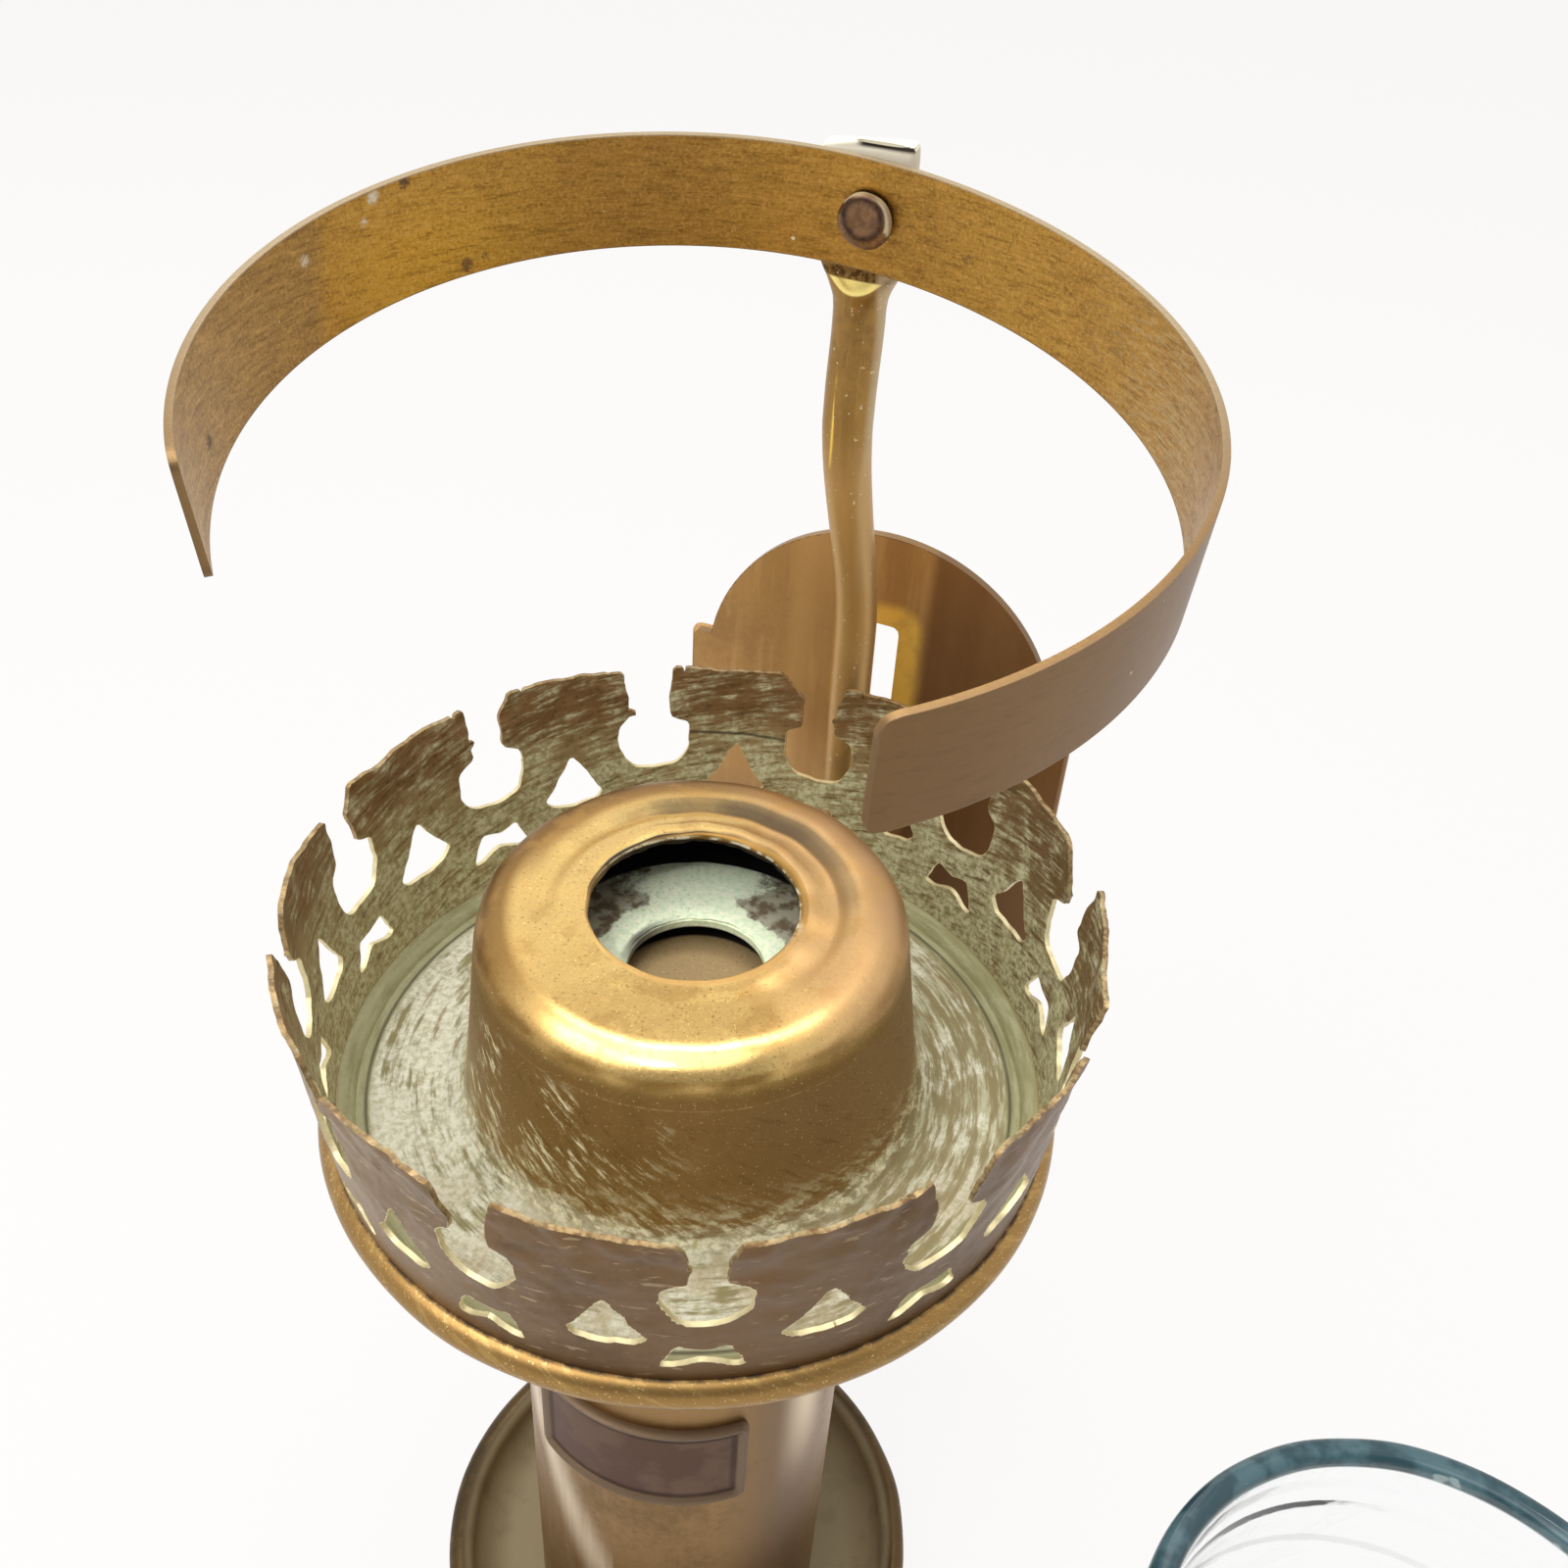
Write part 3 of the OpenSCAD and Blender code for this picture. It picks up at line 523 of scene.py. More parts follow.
bend = Maker("bend_round_a_post", Radius=20.0, Middle=0.0, Height=0.0)
spot = bend.parts(bend.node("GeometryNodeInputPosition"))
sideways, outward, rise = [value * 1000 for value in spot]
radius = bend.size("Radius")
bow = sideways / radius + bend.size("Middle")
reach = radius - outward
bend.move(reach * bow.maths("SINE", bow), reach * bow.maths("COSINE", bow) * -1,
          rise + bend.size("Height"))
bend.finish()

NAME_WIDE, NAME_TALL, NAME_FRAME, NAME_PROUD, NAME_SUNK = 25.6, 14.6, 1.1, 1.0, 0.5
NAME_TURN, NAME_MIDDLE = 8.7, 56.5


def name_relief(x, z):
    inside = float(block(x, z, NAME_WIDE, NAME_TALL, 1.2))
    fall = min(1, max(0, (inside - NAME_FRAME + 0.35) / 0.5))
    edge = min(1, max(0, inside / 0.45))
    return NAME_PROUD * (0.45 + 0.55 * math.sqrt(edge * (2 - edge))) - NAME_SUNK * fall * fall * (3 - 2 * fall)


name_finish = Brass("name_brass", (104, 84, 62), (82, 64, 50), 0.6, 60, 0.8)
from_front = name_finish.x.maths("ARCTAN2", name_finish.x, name_finish.y * -1)
across = (from_front - math.radians(NAME_TURN)) * 19.3
height = name_finish.z - NAME_MIDDLE
sideways, level = [v.maths("ABSOLUTE", v) for v in (across, height)]
field = sideways.rise(11.7, 11.3) * level.rise(6.2, 5.8)
name_finish.coat((1 - field) * 0.8, (126, 104, 82), 0.5, 0.6)
name_finish.coat(field * 0.85, (98, 70, 58), 0.5)
name_finish.coat(field * name_finish.noise(0.16, 4, 0.6, shift=2).rise(0.45, 0.62) * 0.6, (122, 98, 80), 0.55)
lining = field * (1 - sideways.rise(11.0, 10.6) * level.rise(5.5, 5.1))
name_finish.coat(lining * 0.5, (60, 50, 42), 0.6)
# Painted shadow: a dark line along the plate's top, under the bead.
name_finish.coat(height.bell(6.1, 0.75) * across.rise(-9, 4) * sideways.rise(12.0, 11.4), (40, 31, 26), 0.6)
blank = stamped("name_plate_bent", (-12.8, -7.3), (12.8, 7.3), 0.32,
                lambda x, z: block(x, z, NAME_WIDE, NAME_TALL, 1.2), NAME_PROUD, relief=name_relief)
name_brass = name_finish.done(0.04)
dress("name_plate_bent", bend.run("name_plate_bent", blank, name_brass, Radius=19.3,
                                  Middle=math.radians(NAME_TURN), Height=NAME_MIDDLE),
      name_brass, "lamp", "name_brass", "name_plate")


# Inside the column a follower cup lifts the candle, and the nozzle cap on its bayonet
# holds it back. Hot wax and damp have crusted the cap white and green.
cap = Brass("nozzle_brass", (122, 104, 72), (92, 80, 58), 0.5, 80)
turn, out = cap.round_about()
scale_edge = cap.noise(0.22, 5, 0.65, shift=9)
left_bare = turn.bell(math.radians(-85), math.radians(70)) * out.rise(8.8, 11.5)
right_bare = turn.bell(math.radians(32), math.radians(62)) * out.rise(7.5, 11.0)
mottled = cap.noise(0.6, 4, 0.6, shift=4)
grain = cap.noise(2.2, 4, 0.7, shift=21)
bare = (scale_edge * 0.55 + grain * 0.15 + left_bare * 0.32 + right_bare * 0.34).rise(0.5, 0.6)
cap.crust((1 - bare) * (0.86 + mottled * 0.14), (246, 252, 222), (222, 240, 202), 1.5)
cap.coat((1 - bare) * turn.bell(math.radians(120), math.radians(60)) * 0.5, (236, 222, 172))
cap.coat((1 - bare) * grain.rise(0.56, 0.66) * turn.bell(math.radians(-60), math.radians(75)) * 0.6,
         (132, 126, 100), 0.8, 0)
cap.coat(bare * 0.9, cap.mix(mottled.rise(0.4, 0.6), tint(118, 102, 78), tint(190, 186, 160)), 0.7, 0.2)
# Painted shade: the crust's inner edge is dark on the left.
cap.coat(out.rise(7.9, 7.3) * turn.bell(math.radians(-80), math.radians(50)) * 0.9, (84, 80, 70), 0.8, 0)
# Painted shade: near black on the cap beyond the crust and on its sides, where they lie in the dome's shade.
cap.coat(out.rise(15.9, 16.4), (16, 13, 10), 0.8, 0.1)
cap.coat((cap.z - 100).rise(14.2, 13.9), (16, 13, 10), 0.8, 0.1)
nozzle_brass = cap.done(0.02)
refinish(nozzle_brass, "nozzle_brass", "nozzle_cap")


def crust_drift(turn, r, z):
    lift = lump(turn, r * 4, 11, 2) + 0.6 * lump(turn, r * 9, 12, 5)
    if z > 114.85:
        z = 114.9 + 0.16 * (1 + lift) * min(1, (r - 6.9) / 1.4 + 0.6)
    return r + 0.16 * lump(turn, r, 13, 4) * (1 if r < 9 else 0), z


crust_line = [(7.15, 114.75), (7.05, 114.95)]
crust_line += [(7.15 + i * 0.35, 115.0) for i in range(26)]
crust_line += [(16.1, 114.75)]
dress("nozzle_crust", spun("nozzle_crust", crust_line, 160, crust_drift), nozzle_brass, "nozzle",
      "nozzle_brass")

cup = Brass("follower_brass", (172, 146, 102), (158, 132, 90), 0.4, 90, 0.3, 0.8)
turn, out = cup.round_about()
cup.metal = cup.metal * 0.25
cup.rough = cup.rough + 0.2
# Painted shade: near black beyond 8.4 mm from the middle, where the cup lies in shade.
cup.coat(out.rise(8.4, 8.8), (20, 15, 10), 0.8, 0.2)
refinish(cup.done(), "follower_brass", "follower_cup")


# The gallery is one spinning: a shallow dish with a rolled bead, and the dome with a
# soft roll round the flame's hole. Wax and damp have dried white and green in the dish.
GALLERY = 100
DISH_OUT, DISH_TOP, SHEET = 34.6, 0.6, 0.7
DOME_FOOT, DOME_TALL = 23.5, 22.7
SHOULDER_R, SHOULDER_Z, SHOULDER = 17.5, 19.1, 3.6
BACK_RISE = 1.3
HOLE, CREST, ROLL_FOOT, COLLAR = 10.2, 23.7, 13.6, 22.4
shoulder = [(r, z, 0) for r, z in around(SHOULDER_R, SHOULDER_Z, SHOULDER, 4, 90, 18)]
shoulder_under = [(r, z, 0) for r, z in around(SHOULDER_R, SHOULDER_Z, SHOULDER - SHEET, 90, 4, 12)]
dome_line = softened([(DISH_OUT, DISH_TOP, 0), (DOME_FOOT, DISH_TOP, 4.6)] + shoulder + [
    (ROLL_FOOT, DOME_TALL + 0.1, 2.4), (11.7, CREST, 2.4), (HOLE, CREST - 0.35, 1.1),
    (HOLE, COLLAR, 0.1), (HOLE + 0.5, COLLAR, 0.1), (HOLE + 0.6, CREST - 1.0, 0.6),
    (11.9, CREST - 0.9, 0.8), (ROLL_FOOT - 0.1, DOME_TALL - 0.65, 1.6)] + shoulder_under + [
    (DOME_FOOT - SHEET, -0.1, 4.2), (DISH_OUT, -0.1, 0)])
dome_line = [(r, z + GALLERY) for r, z in dome_line]
bead_line = around(36.1, GALLERY, 1.9, 0, 360, 31)[:-1]


# How far the roll round the hole stands up, by radius. It fades towards the front.
top_side = dome_line[:next(i for i, (r, z) in enumerate(dome_line) if r < HOLE + 0.01)]
ROLL = list(zip(*sorted((r, z - GALLERY - DOME_TALL) for r, z in top_side if r < 15)))


def spin_drift(turn, r, z):
    rise = max(0.0, min(1.0, (z - GALLERY - 3) / 15))
    wide = 0.10 * lump(turn, z * 0.5, 5) * rise
    sunk = 0.12 * lump(turn, r, 6) if r < 21 else 0
    if r < HOLE + 0.9 and z < GALLERY + COLLAR + 0.5:
        sunk += 0.16 * lump(turn, 0, 7, 7)
    fade = 0.45 * (1 - math.cos(turn))
    sunk -= float(np.interp(r, ROLL[0], ROLL[1])) * fade
    sunk += BACK_RISE * 0.5 * (1 + math.cos(turn)) * float(np.interp(r, (12.5, 16.5), (0, 1)))
    aside = 0.4 * math.sin(turn) * rise
    return r + wide - aside - 0.05, z + sunk * rise


def bead_drift(turn, r, z):
    return r + 0.1 * lump(turn, z, 8) - 0.12, z


def joined(name, *meshes):
    """One mesh from several shells."""
    shape = bmesh.new()
    for mesh in meshes:
        shape.from_mesh(mesh)
    whole = bpy.data.meshes.new(name)
    shape.to_mesh(whole)
    shape.free()
    return whole


def finer(line, step):
    """The same closed line with its long stretches cut into short ones."""
    more = []
    for a, b in zip(line, line[1:] + line[:1]):
        count = max(1, round(math.dist(a, b) / step))
        more += [(a[0] + (b[0] - a[0]) * i / count, a[1] + (b[1] - a[1]) * i / count)
                 for i in range(count)]
    return more


def toward(turn, degrees, start=0.0, full=0.8):
    """1 on the side of the lamp at that many degrees from the back, 0 on the far side."""
    away = turn - math.radians(degrees)
    return away.maths("COSINE", away).rise(start, full)


dome = Brass("dome_brass", (240, 204, 130), (218, 178, 112), 0.42, 100, 0.6, 0.7)
dome.rough = dome.rough - 0.08
turn, out = dome.round_about()
up = dome.z - GALLERY
on_top = up.rise(18.5, 21.0)
# Painted reflection: the outer band of the top is brown at the back.
dome.coat(on_top * out.rise(15.4, 17.4) * toward(turn, -8, -0.35, 0.35) * 0.85, (146, 108, 66), 0.42)
dome.coat(on_top * toward(turn, 58, 0.1, 0.8) * 0.7, (196, 158, 114), 0.5, 0.8)
# Painted shade: a brown ring in the valley behind the roll, at the back.
dome.coat(on_top * out.bell(14.0, 0.9) * toward(turn, 0, -0.8, 0.4) * 0.6, (168, 124, 62))
# Painted reflection: the left shoulder is brown.
dome.coat(on_top * out.rise(17.2, 18.8) * toward(turn, -88, 0.1, 0.7) * 0.85, (138, 102, 52), 0.4, 0.9)
dome.coat(on_top * dome.noise(0.25, 3, 0.6, shift=41).rise(0.5, 0.62) * 0.4, (196, 154, 88))
# Painted reflection: the shoulder and wall are brown, as they reflect the dim room.
dome.coat(up.rise(21.4, 18.6) * out.rise(17.0, 18.4) * (0.86 + dome.fine * 0.14), (150, 116, 66), 0.42, 0.75)
dome.coat(up.rise(20.0, 16.0) * toward(turn, 95, 0.2, 0.9) * 0.6, (158, 124, 86), 0.55, 0.6)
arc = turn * 22.5
slanting = dome.node("ShaderNodeCombineXYZ", None, {"X": (arc - up * 1.3) * 1.1, "Y": (up + arc * 0.6) * 0.3})
scores = dome.noise(0.8, 4, 0.7, place=slanting, shift=2)
scored = up.rise(18.6, 15.0) * up.rise(0.5, 3.0) * toward(turn, -140, 0.3, 0.9)
smears = dome.noise(0.2, 3, 0.6, shift=13).rise(0.5, 0.6)
dome.coat(scored * smears * scores.rise(0.5, 0.6) * 0.85, (255, 250, 214), 0.6, 0.1)
dome.coat(up.rise(18.6, 15.0) * up.rise(0.5, 3.0) * scores.rise(0.45, 0.36) * 0.3, (92, 70, 38))
speck = dome.noise(4.5, 2, 0.5, shift=51)
dome.coat(speck.rise(0.66, 0.72) * up.rise(23.0, 20.0) * 0.7, (250, 232, 180), 0.4, 0.6)
dome.coat(up.bell(17.8, 0.14) * toward(turn, 160, 0.6, 0.9) * dome.fine.rise(0.4, 0.6) * 0.7, (214, 190, 128))

in_dish = up.rise(4.6, 1.8) * out.rise(21.8, 22.8) * out.rise(36.3, 35.7)
swept = dome.node("ShaderNodeCombineXYZ", None, {"X": turn * 5.5, "Y": out * 1.3, "Z": up * 0.8})
strokes = dome.noise(1.0, 4, 0.65, place=swept, shift=5)
patches = dome.noise(0.17, 4, 0.6, shift=17)
cover = strokes * 0.45 + patches * 0.55 + toward(turn, -140, -0.9, 0.9) * 0.09
brushed = dome.mix(strokes.rise(0.38, 0.6), tint(142, 134, 94), tint(190, 186, 154))
dome.coat(in_dish, brushed, 0.85, 0)
cream = dome.mix(dome.noise(1.4, 5, 0.7, shift=31).rise(0.36, 0.6), tint(206, 204, 176), tint(255, 255, 242))
dome.coat(in_dish * cover.rise(0.48, 0.58) * 0.6, cream, 0.85, 0)
dome.coat(in_dish * toward(turn, 150, 0.2, 0.8) * patches.rise(0.4, 0.6) * 0.5, (168, 146, 98), 0.8, 0)
dome.coat(in_dish * toward(turn, 85, 0.3, 0.8) * strokes.rise(0.56, 0.46) * 0.6, (150, 136, 98), 0.8, 0)
dome.height = dome.height + in_dish * (strokes * 0.9 + cover.rise(0.49, 0.57) * 0.5)
flakes = dome.noise(0.7, 3, 0.6, place=swept, shift=24).rise(0.64, 0.68)
dome.coat(in_dish * flakes * 0.6, (140, 114, 70), 0.5, 0.3)
rim_band = in_dish * out.rise(32.2, 33.4)
dome.coat(rim_band * 0.85, dome.mix(strokes, tint(130, 126, 84), tint(184, 184, 140)), 0.7, 0.1)
dome.coat(in_dish * out.bell(33.2, 0.35) * 0.8, (66, 58, 34), 0.7, 0)
creep = up.rise(9.5, 2.0) * out.rise(21.6, 22.2) * out.rise(24.5, 23.5)
dome.crust(creep * (strokes * 0.5 + scores * 0.5).rise(0.46, 0.58) * 0.85, (250, 246, 214), (190, 180, 130))
on_bead = out.rise(35.7, 36.2).most(up.rise(0.2, 0.0) * out.rise(34.2, 34.6))
dome.coat(on_bead * (0.8 + dome.fine * 0.2), (160, 126, 74), 0.34, 1)
dome.coat(on_bead * scores.rise(0.5, 0.62) * 0.3, (212, 178, 112), 0.3)
dome.coat(on_bead * speck.rise(0.64, 0.7) * 0.6, (240, 216, 160), 0.4)
joint = out.rise(35.9, 36.1) * up.rise(1.35, 1.65) * out.rise(36.9, 36.5)
dome.coat(joint * (0.35 + dome.noise(0.7, 3, 0.6).rise(0.4, 0.6) * 0.6), (44, 34, 20), 0.7, 0.2)

# Painted shade: near black on the faces that look inward or down inside the dome.
looks_out, looks_up = dome.facing()
shaded_inside = looks_out.rise(-0.1, -0.35).most(looks_up.rise(-0.3, -0.6))
dome.coat(shaded_inside * up.rise(2.5, 4.0), (22, 17, 12), 0.7, 0.2)
# Painted reflection: the inside of the hole is a darker gold at the back, with a painted dark line of shade at its
# foot.
collar = out.rise(10.75, 10.5) * up.rise(24.3, 23.9)
dome.coat(collar * toward(turn, 0, -0.5, 0.2) * 0.7, (176, 134, 64), 0.34, 0.95)
dome.coat(collar * up.rise(22.95, 22.75) * toward(turn, 0, -0.2, 0.2), (40, 30, 18), 0.6, 0.5)
dome.coat(collar * up.bell(23.0, 0.25) * dome.noise(1.2, 4, 0.6).rise(0.4, 0.55) * toward(turn, 0, -0.4, 0.3),
          (226, 220, 190), 0.7, 0.1)
# Painted shade: the front edge of the hole is a darker, matt gold, so it shows no highlight.
dome.coat(out.rise(11.0, 10.5) * toward(turn, 180, -0.3, 0.4) * 0.7, (196, 154, 86), 0.7, 0.4)
dome_brass = dome.done(0.035)
spinning = joined("gallery_spinning", spun("dish", finer(dome_line, 0.8), 288, spin_drift),
                  spun("bead", bead_line, 288, bead_drift))
dress("gallery_spinning", spinning, dome_brass, "gallery", "dome_brass", "gallery_dish")


# The crown is one strip of sheet brass, pierced by hand, bent round and soldered into the
# bead. No two tabs are alike, their ears are bent, and inside it is green with age.
CROWN_LOW, CROWN_HIGH, CROWN_SHEET = 0.6, 25.6, 0.5
PITCH = 19.9
GAP_TURNS = [-3.4, 27.9, 59.1, 90.4, 121.6, 153.3, 182.0, 209.1, 236.3, 263.4, 296.2, 326.6]
STRIP = PITCH * len(GAP_TURNS)

# Each gap: the neck and the top to the left and right of its middle, the bowl and its foot.
GAPS = [
    (2.4, 1.7, 4.9, 2.3, 4.1, 2.9), (1.9, 2.2, 2.6, 3.4, 4.0, 2.8), (1.8, 2.1, 3.2, 2.5, 3.9, 2.9),
    (2.1, 1.7, 2.5, 3.7, 3.8, 2.6), (1.9, 1.9, 3.0, 2.6, 3.9, 2.4), (1.6, 1.4, 2.5, 2.2, 3.7, 2.0),
    (1.7, 2.0, 2.6, 3.2, 3.8, 2.1), (2.0, 1.8, 2.8, 2.4, 3.7, 2.2), (1.8, 2.0, 3.4, 2.6, 3.9, 2.7),
    (2.2, 1.9, 2.8, 3.0, 3.9, 2.8), (2.0, 1.9, 1.9, 3.2, 4.0, 2.9), (3.0, 1.9, 3.5, 2.4, 4.2, 3.0)]
TAB_TOPS = [24.9, 24.6, 24.8, 24.3, 24.5, 24.0, 24.6, 23.9, 24.6, 24.8, 25.0, 24.8]
EARS = [(0.9, -0.5), (0.4, 0.8), (-0.6, 0.5), (0.7, 0.3), (0.5, -0.7), (0.9, 0.6),
        (-0.4, 0.9), (0.8, 0.2), (0.3, -0.6), (-0.5, 0.6), (0.6, 1.1), (-0.9, 0.5)]


def within(corners, x, z):
    """How far each point lies inside a line through softened corners, below 0 outside."""
    line = softened(corners)
    nearest = np.full(np.shape(x), np.inf)
    odd = np.zeros(np.shape(x), bool)
    for (ax, az), (bx, bz) in zip(line, line[1:] + line[:1]):
        long = max((bx - ax) ** 2 + (bz - az) ** 2, 1e-9)
        share = np.clip(((x - ax) * (bx - ax) + (z - az) * (bz - az)) / long, 0, 1)
        away = np.hypot(x - ax - share * (bx - ax), z - az - share * (bz - az))
        nearest = np.minimum(nearest, away)
        if az != bz:
            odd ^= ((az > z) != (bz > z)) & (x < (bx - ax) * (z - az) / (bz - az) + ax)
    return np.where(odd, nearest, -nearest)


def mirrored(corners):
    return corners + [(-x, z, soft) for x, z, soft in reversed(corners) if x != 0]


TRIANGLE = mirrored([(0, 8.2, 0), (2.6, 8.5, 0.7), (3.7, 9.6, 0.55), (2.2, 11.6, 6), (0.35, 14.7, 0.4),
                     (0, 15.0, 0)])
BOW = mirrored([(0, 8.0, 1.2), (2.3, 8.55, 0.5), (3.8, 5.1, 0.35), (2.5, 5.1, 0.9), (0, 6.35, 1.4)])


def gap_outline(neck_l, neck_r, top_l, top_r, bowl, foot):
    right = [(0, 11.9, 4), (foot, 12.3, 2.6), (bowl, 14.7, 2.4), (bowl, 17.7, 1.2), (neck_r, 18.7, 0.5),
             (neck_r, 21.8, 1.5), (top_r, 24.6, 0.5), (top_r + 1.2, 27, 0)]
    left = [(-top_l - 1.2, 27, 0), (-top_l, 24.6, 0.5), (-neck_l, 21.8, 1.5), (-neck_l, 18.7, 0.5),
            (-bowl, 17.7, 1.2), (-bowl, 14.7, 2.4), (-foot, 12.3, 2.6)]
    return right + left


# Nicks in the upper edge and teeth left by the shears: gap, place beside it, height, size.
NICKS = [(0, 4.4, 1.3), (0, -6.3, 0.7), (1, 5.2, 0.9), (2, -4.6, 0.8), (4, 4.3, 0.7), (5, 3.7, 1.0), (6, -4.2, 0.7),
         (7, 3.9, 0.8), (8, -5.0, 1.0), (9, 4.3, 0.8), (10, -3.1, 2.1), (10, 4.9, 1.1), (11, -4.9, 0.8), (11, 3.6, 1.2)]
TEETH = [(11, -3.4, 19.4, 1.5, 0.75), (10, -2.3, 20.6, 1.0, 0.6), (0, 2.0, 20.3, -0.9, 0.7), (5, 1.9, 20.4, -0.9, 0.8),
         (2, -2.2, 19.8, 0.8, 0.6), (8, 2.3, 19.9, -0.8, 0.6), (3, 1.9, 20.8, -0.7, 0.6)]


# One triangle at the front was pierced off its tab's middle.
FRONT_TRIANGLE = -1.5


def crown_keep(x, z):
    """The metal of the whole strip, from the middle of one gap round to it again."""
    round_strip = 2 * np.pi * x / STRIP
    shaky = x + 0.08 * np.sin(z * 1.7 + 31 * round_strip) + 0.03 * np.sin(z * 4.1 - 47 * round_strip)
    shaken = z + 0.08 * np.sin(53 * round_strip) + 0.03 * np.sin(97 * round_strip + 1)
    tops = np.interp(np.mod(x / PITCH - 0.5, 12), range(13), TAB_TOPS + TAB_TOPS[:1])
    metal = tops - shaken
    for i in range(len(GAPS) + 1):
        beside = shaky - i * PITCH
        near = np.abs(beside) < 9
        for cut in (gap_outline(*GAPS[i % 12]), BOW):
            metal[near] = np.minimum(metal[near], -within(cut, beside[near], shaken[near]))
        for nick in [n for n in NICKS if n[0] == i % 12]:
            cut = [(nick[1] - 0.5, 27, 0), (nick[1] + 0.05, 24.9 - nick[2], 0), (nick[1] + 0.5, 27, 0)]
            metal[near] = np.minimum(metal[near], -within(cut, beside[near], shaken[near]))
        for tooth in [t for t in TEETH if t[0] == i % 12]:
            root, level, long, thick = tooth[1:]
            spur = [(root - long * 0.4, level - thick, 0), (root + long, level - thick * 0.2, 0.2),
                    (root + long * 0.9, level + thick * 0.4, 0.2), (root - long * 0.4, level + thick, 0)]
            metal[near] = np.maximum(metal[near], within(spur, beside[near], shaken[near]))
        middle = shaky - (i + 0.5) * PITCH - (FRONT_TRIANGLE if i == 5 else 0)
        near = np.abs(middle) < 6
        metal[near] = np.minimum(metal[near], -within(TRIANGLE, middle[near], shaken[near]))
    return metal


def strip_mark(mesh, name, numbers):
    mesh.attributes.new(name, "FLOAT", "POINT").data.foreach_set("value", numbers.astype(np.float32))


strip_mesh = stamped("strip", (0, CROWN_LOW), (STRIP, CROWN_HIGH), 0.43, crown_keep, CROWN_SHEET, seams=True)
flat = np.empty(len(strip_mesh.vertices) * 3, np.float32)
strip_mesh.vertices.foreach_get("co", flat)
along_strip, up_strip = flat[0::3] * 1000.0, flat[2::3] * 1000.0
strip_mark(strip_mesh, "turn",
           np.radians(np.interp(along_strip / PITCH, range(13), GAP_TURNS + [GAP_TURNS[0] + 360])))
nearest_gap = np.rint(along_strip / PITCH)
beside_gap = along_strip - nearest_gap * PITCH
ear_bend = np.array([EARS[int(i) % 12] for i in nearest_gap])
ear_size = np.where(beside_gap < 0, ear_bend[:, 0], ear_bend[:, 1])
fading = np.clip((6.5 - np.abs(beside_gap)) / 4.5, 0, 1) * np.clip((up_strip - 19.0) / 5.5, 0, 1)
strip_mark(strip_mesh, "ear", ear_size * fading ** 1.5)

crown = Maker("crown_bent_round", Foot_radius=35.85, Top_radius=38.7, Sheet=CROWN_SHEET, Curl=1.1,
              Ragged=0.16, Ear=1.2, Askew=0.9, Seed=4.0)
sideways, through, rise = [v * 1000 for v in crown.parts(crown.node("GeometryNodeInputPosition"))]
bow, ear = [crown.node("GeometryNodeInputNamedAttribute", {"data_type": "FLOAT"}, {"Name": n})
            for n in ("turn", "ear")]
share = (rise - CROWN_LOW) / (CROWN_HIGH - CROWN_LOW)


def crown_noise(cells, shift):
    """Noise that runs round the crown without a seam."""
    spot = crown.node("ShaderNodeCombineXYZ", None, {
        "X": bow.maths("SINE", bow) * 36, "Y": bow.maths("COSINE", bow) * 36, "Z": rise})
    sizes = {"Vector": spot, "W": crown.size("Seed") + shift, "Scale": cells, "Detail": 2.0}
    return crown.node("ShaderNodeTexNoise", {"noise_dimensions": "4D"}, sizes) - 0.5


curl = (crown_noise(0.09, 0) * 2.4 * share ** 2 + crown_noise(0.22, 5) * 1.6 * share ** 4) * crown.size("Curl")
dents = crown_noise(0.35, 8) * 0.5 * share.rise(0.1, 0.4)
lean = crown.size("Foot_radius") + (crown.size("Top_radius") - crown.size("Foot_radius")) * share
outer = (lean + curl + dents + ear * crown.size("Ear")).least(39.35 - crown.size("Sheet"))
wide = outer - through
ragged = crown_noise(0.45, 12) * 2 * share.rise(0.7, 0.95) * crown.size("Ragged")
tipped = bow.maths("COSINE", bow) * crown.size("Askew") * share.rise(0.0, 0.16) * (1 - share * 0.3)
crown.move(wide * bow.maths("SINE", bow), wide * bow.maths("COSINE", bow), rise + GALLERY + ragged + tipped)
crown.finish()

pierced = Brass("crown_brass", (121, 93, 60), (102, 78, 50), 0.5, 120, 0.7)
turn, out = pierced.round_about()
up = pierced.z - GALLERY
outside = pierced.mark("side")
inside = 1 - outside
bloom = pierced.noise(0.3, 4, 0.6, shift=20)
fine = pierced.noise(1.5, 4, 0.6, shift=22)
pierced.coat(outside * bloom.rise(0.5, 0.62) * 0.2, (106, 82, 54))
pierced.coat(outside * toward(turn, -110, 0.2, 0.9) * 0.45, (184, 158, 118), 0.45)
pierced.coat(outside * pierced.noise(0.16, 4, 0.6, shift=27).rise(0.54, 0.66) * up.rise(14, 20) * 0.7,
             (92, 66, 48), 0.5)
scratched = pierced.noise(1.0, 3, 0.6, (0.35, 0.35, 1.6), 33)
pierced.coat(outside * scratched.rise(0.62, 0.68) * 0.5, (206, 184, 148), 0.35)
pierced.coat(inside * 0.9, (166, 144, 98), 0.55, 0.2)
pierced.coat(inside * up.rise(16.5, 20.5) * 0.8, (132, 96, 56), 0.45, 0.4)
pierced.coat(inside * toward(turn, 75, 0.1, 0.8) * 0.7, (108, 84, 50), 0.55, 0.3)
pierced.coat(outside * toward(turn, 120, 0.3, 0.9) * 0.4, (112, 86, 60), 0.45)
wiped = pierced.node("ShaderNodeCombineXYZ", None,
                     {"X": (turn * 36 + up * 0.5) * 0.35, "Y": (up - turn * 9) * 2.6, "Z": out * 0.2})
strokes = pierced.noise(0.7, 5, 0.7, place=wiped, shift=8)
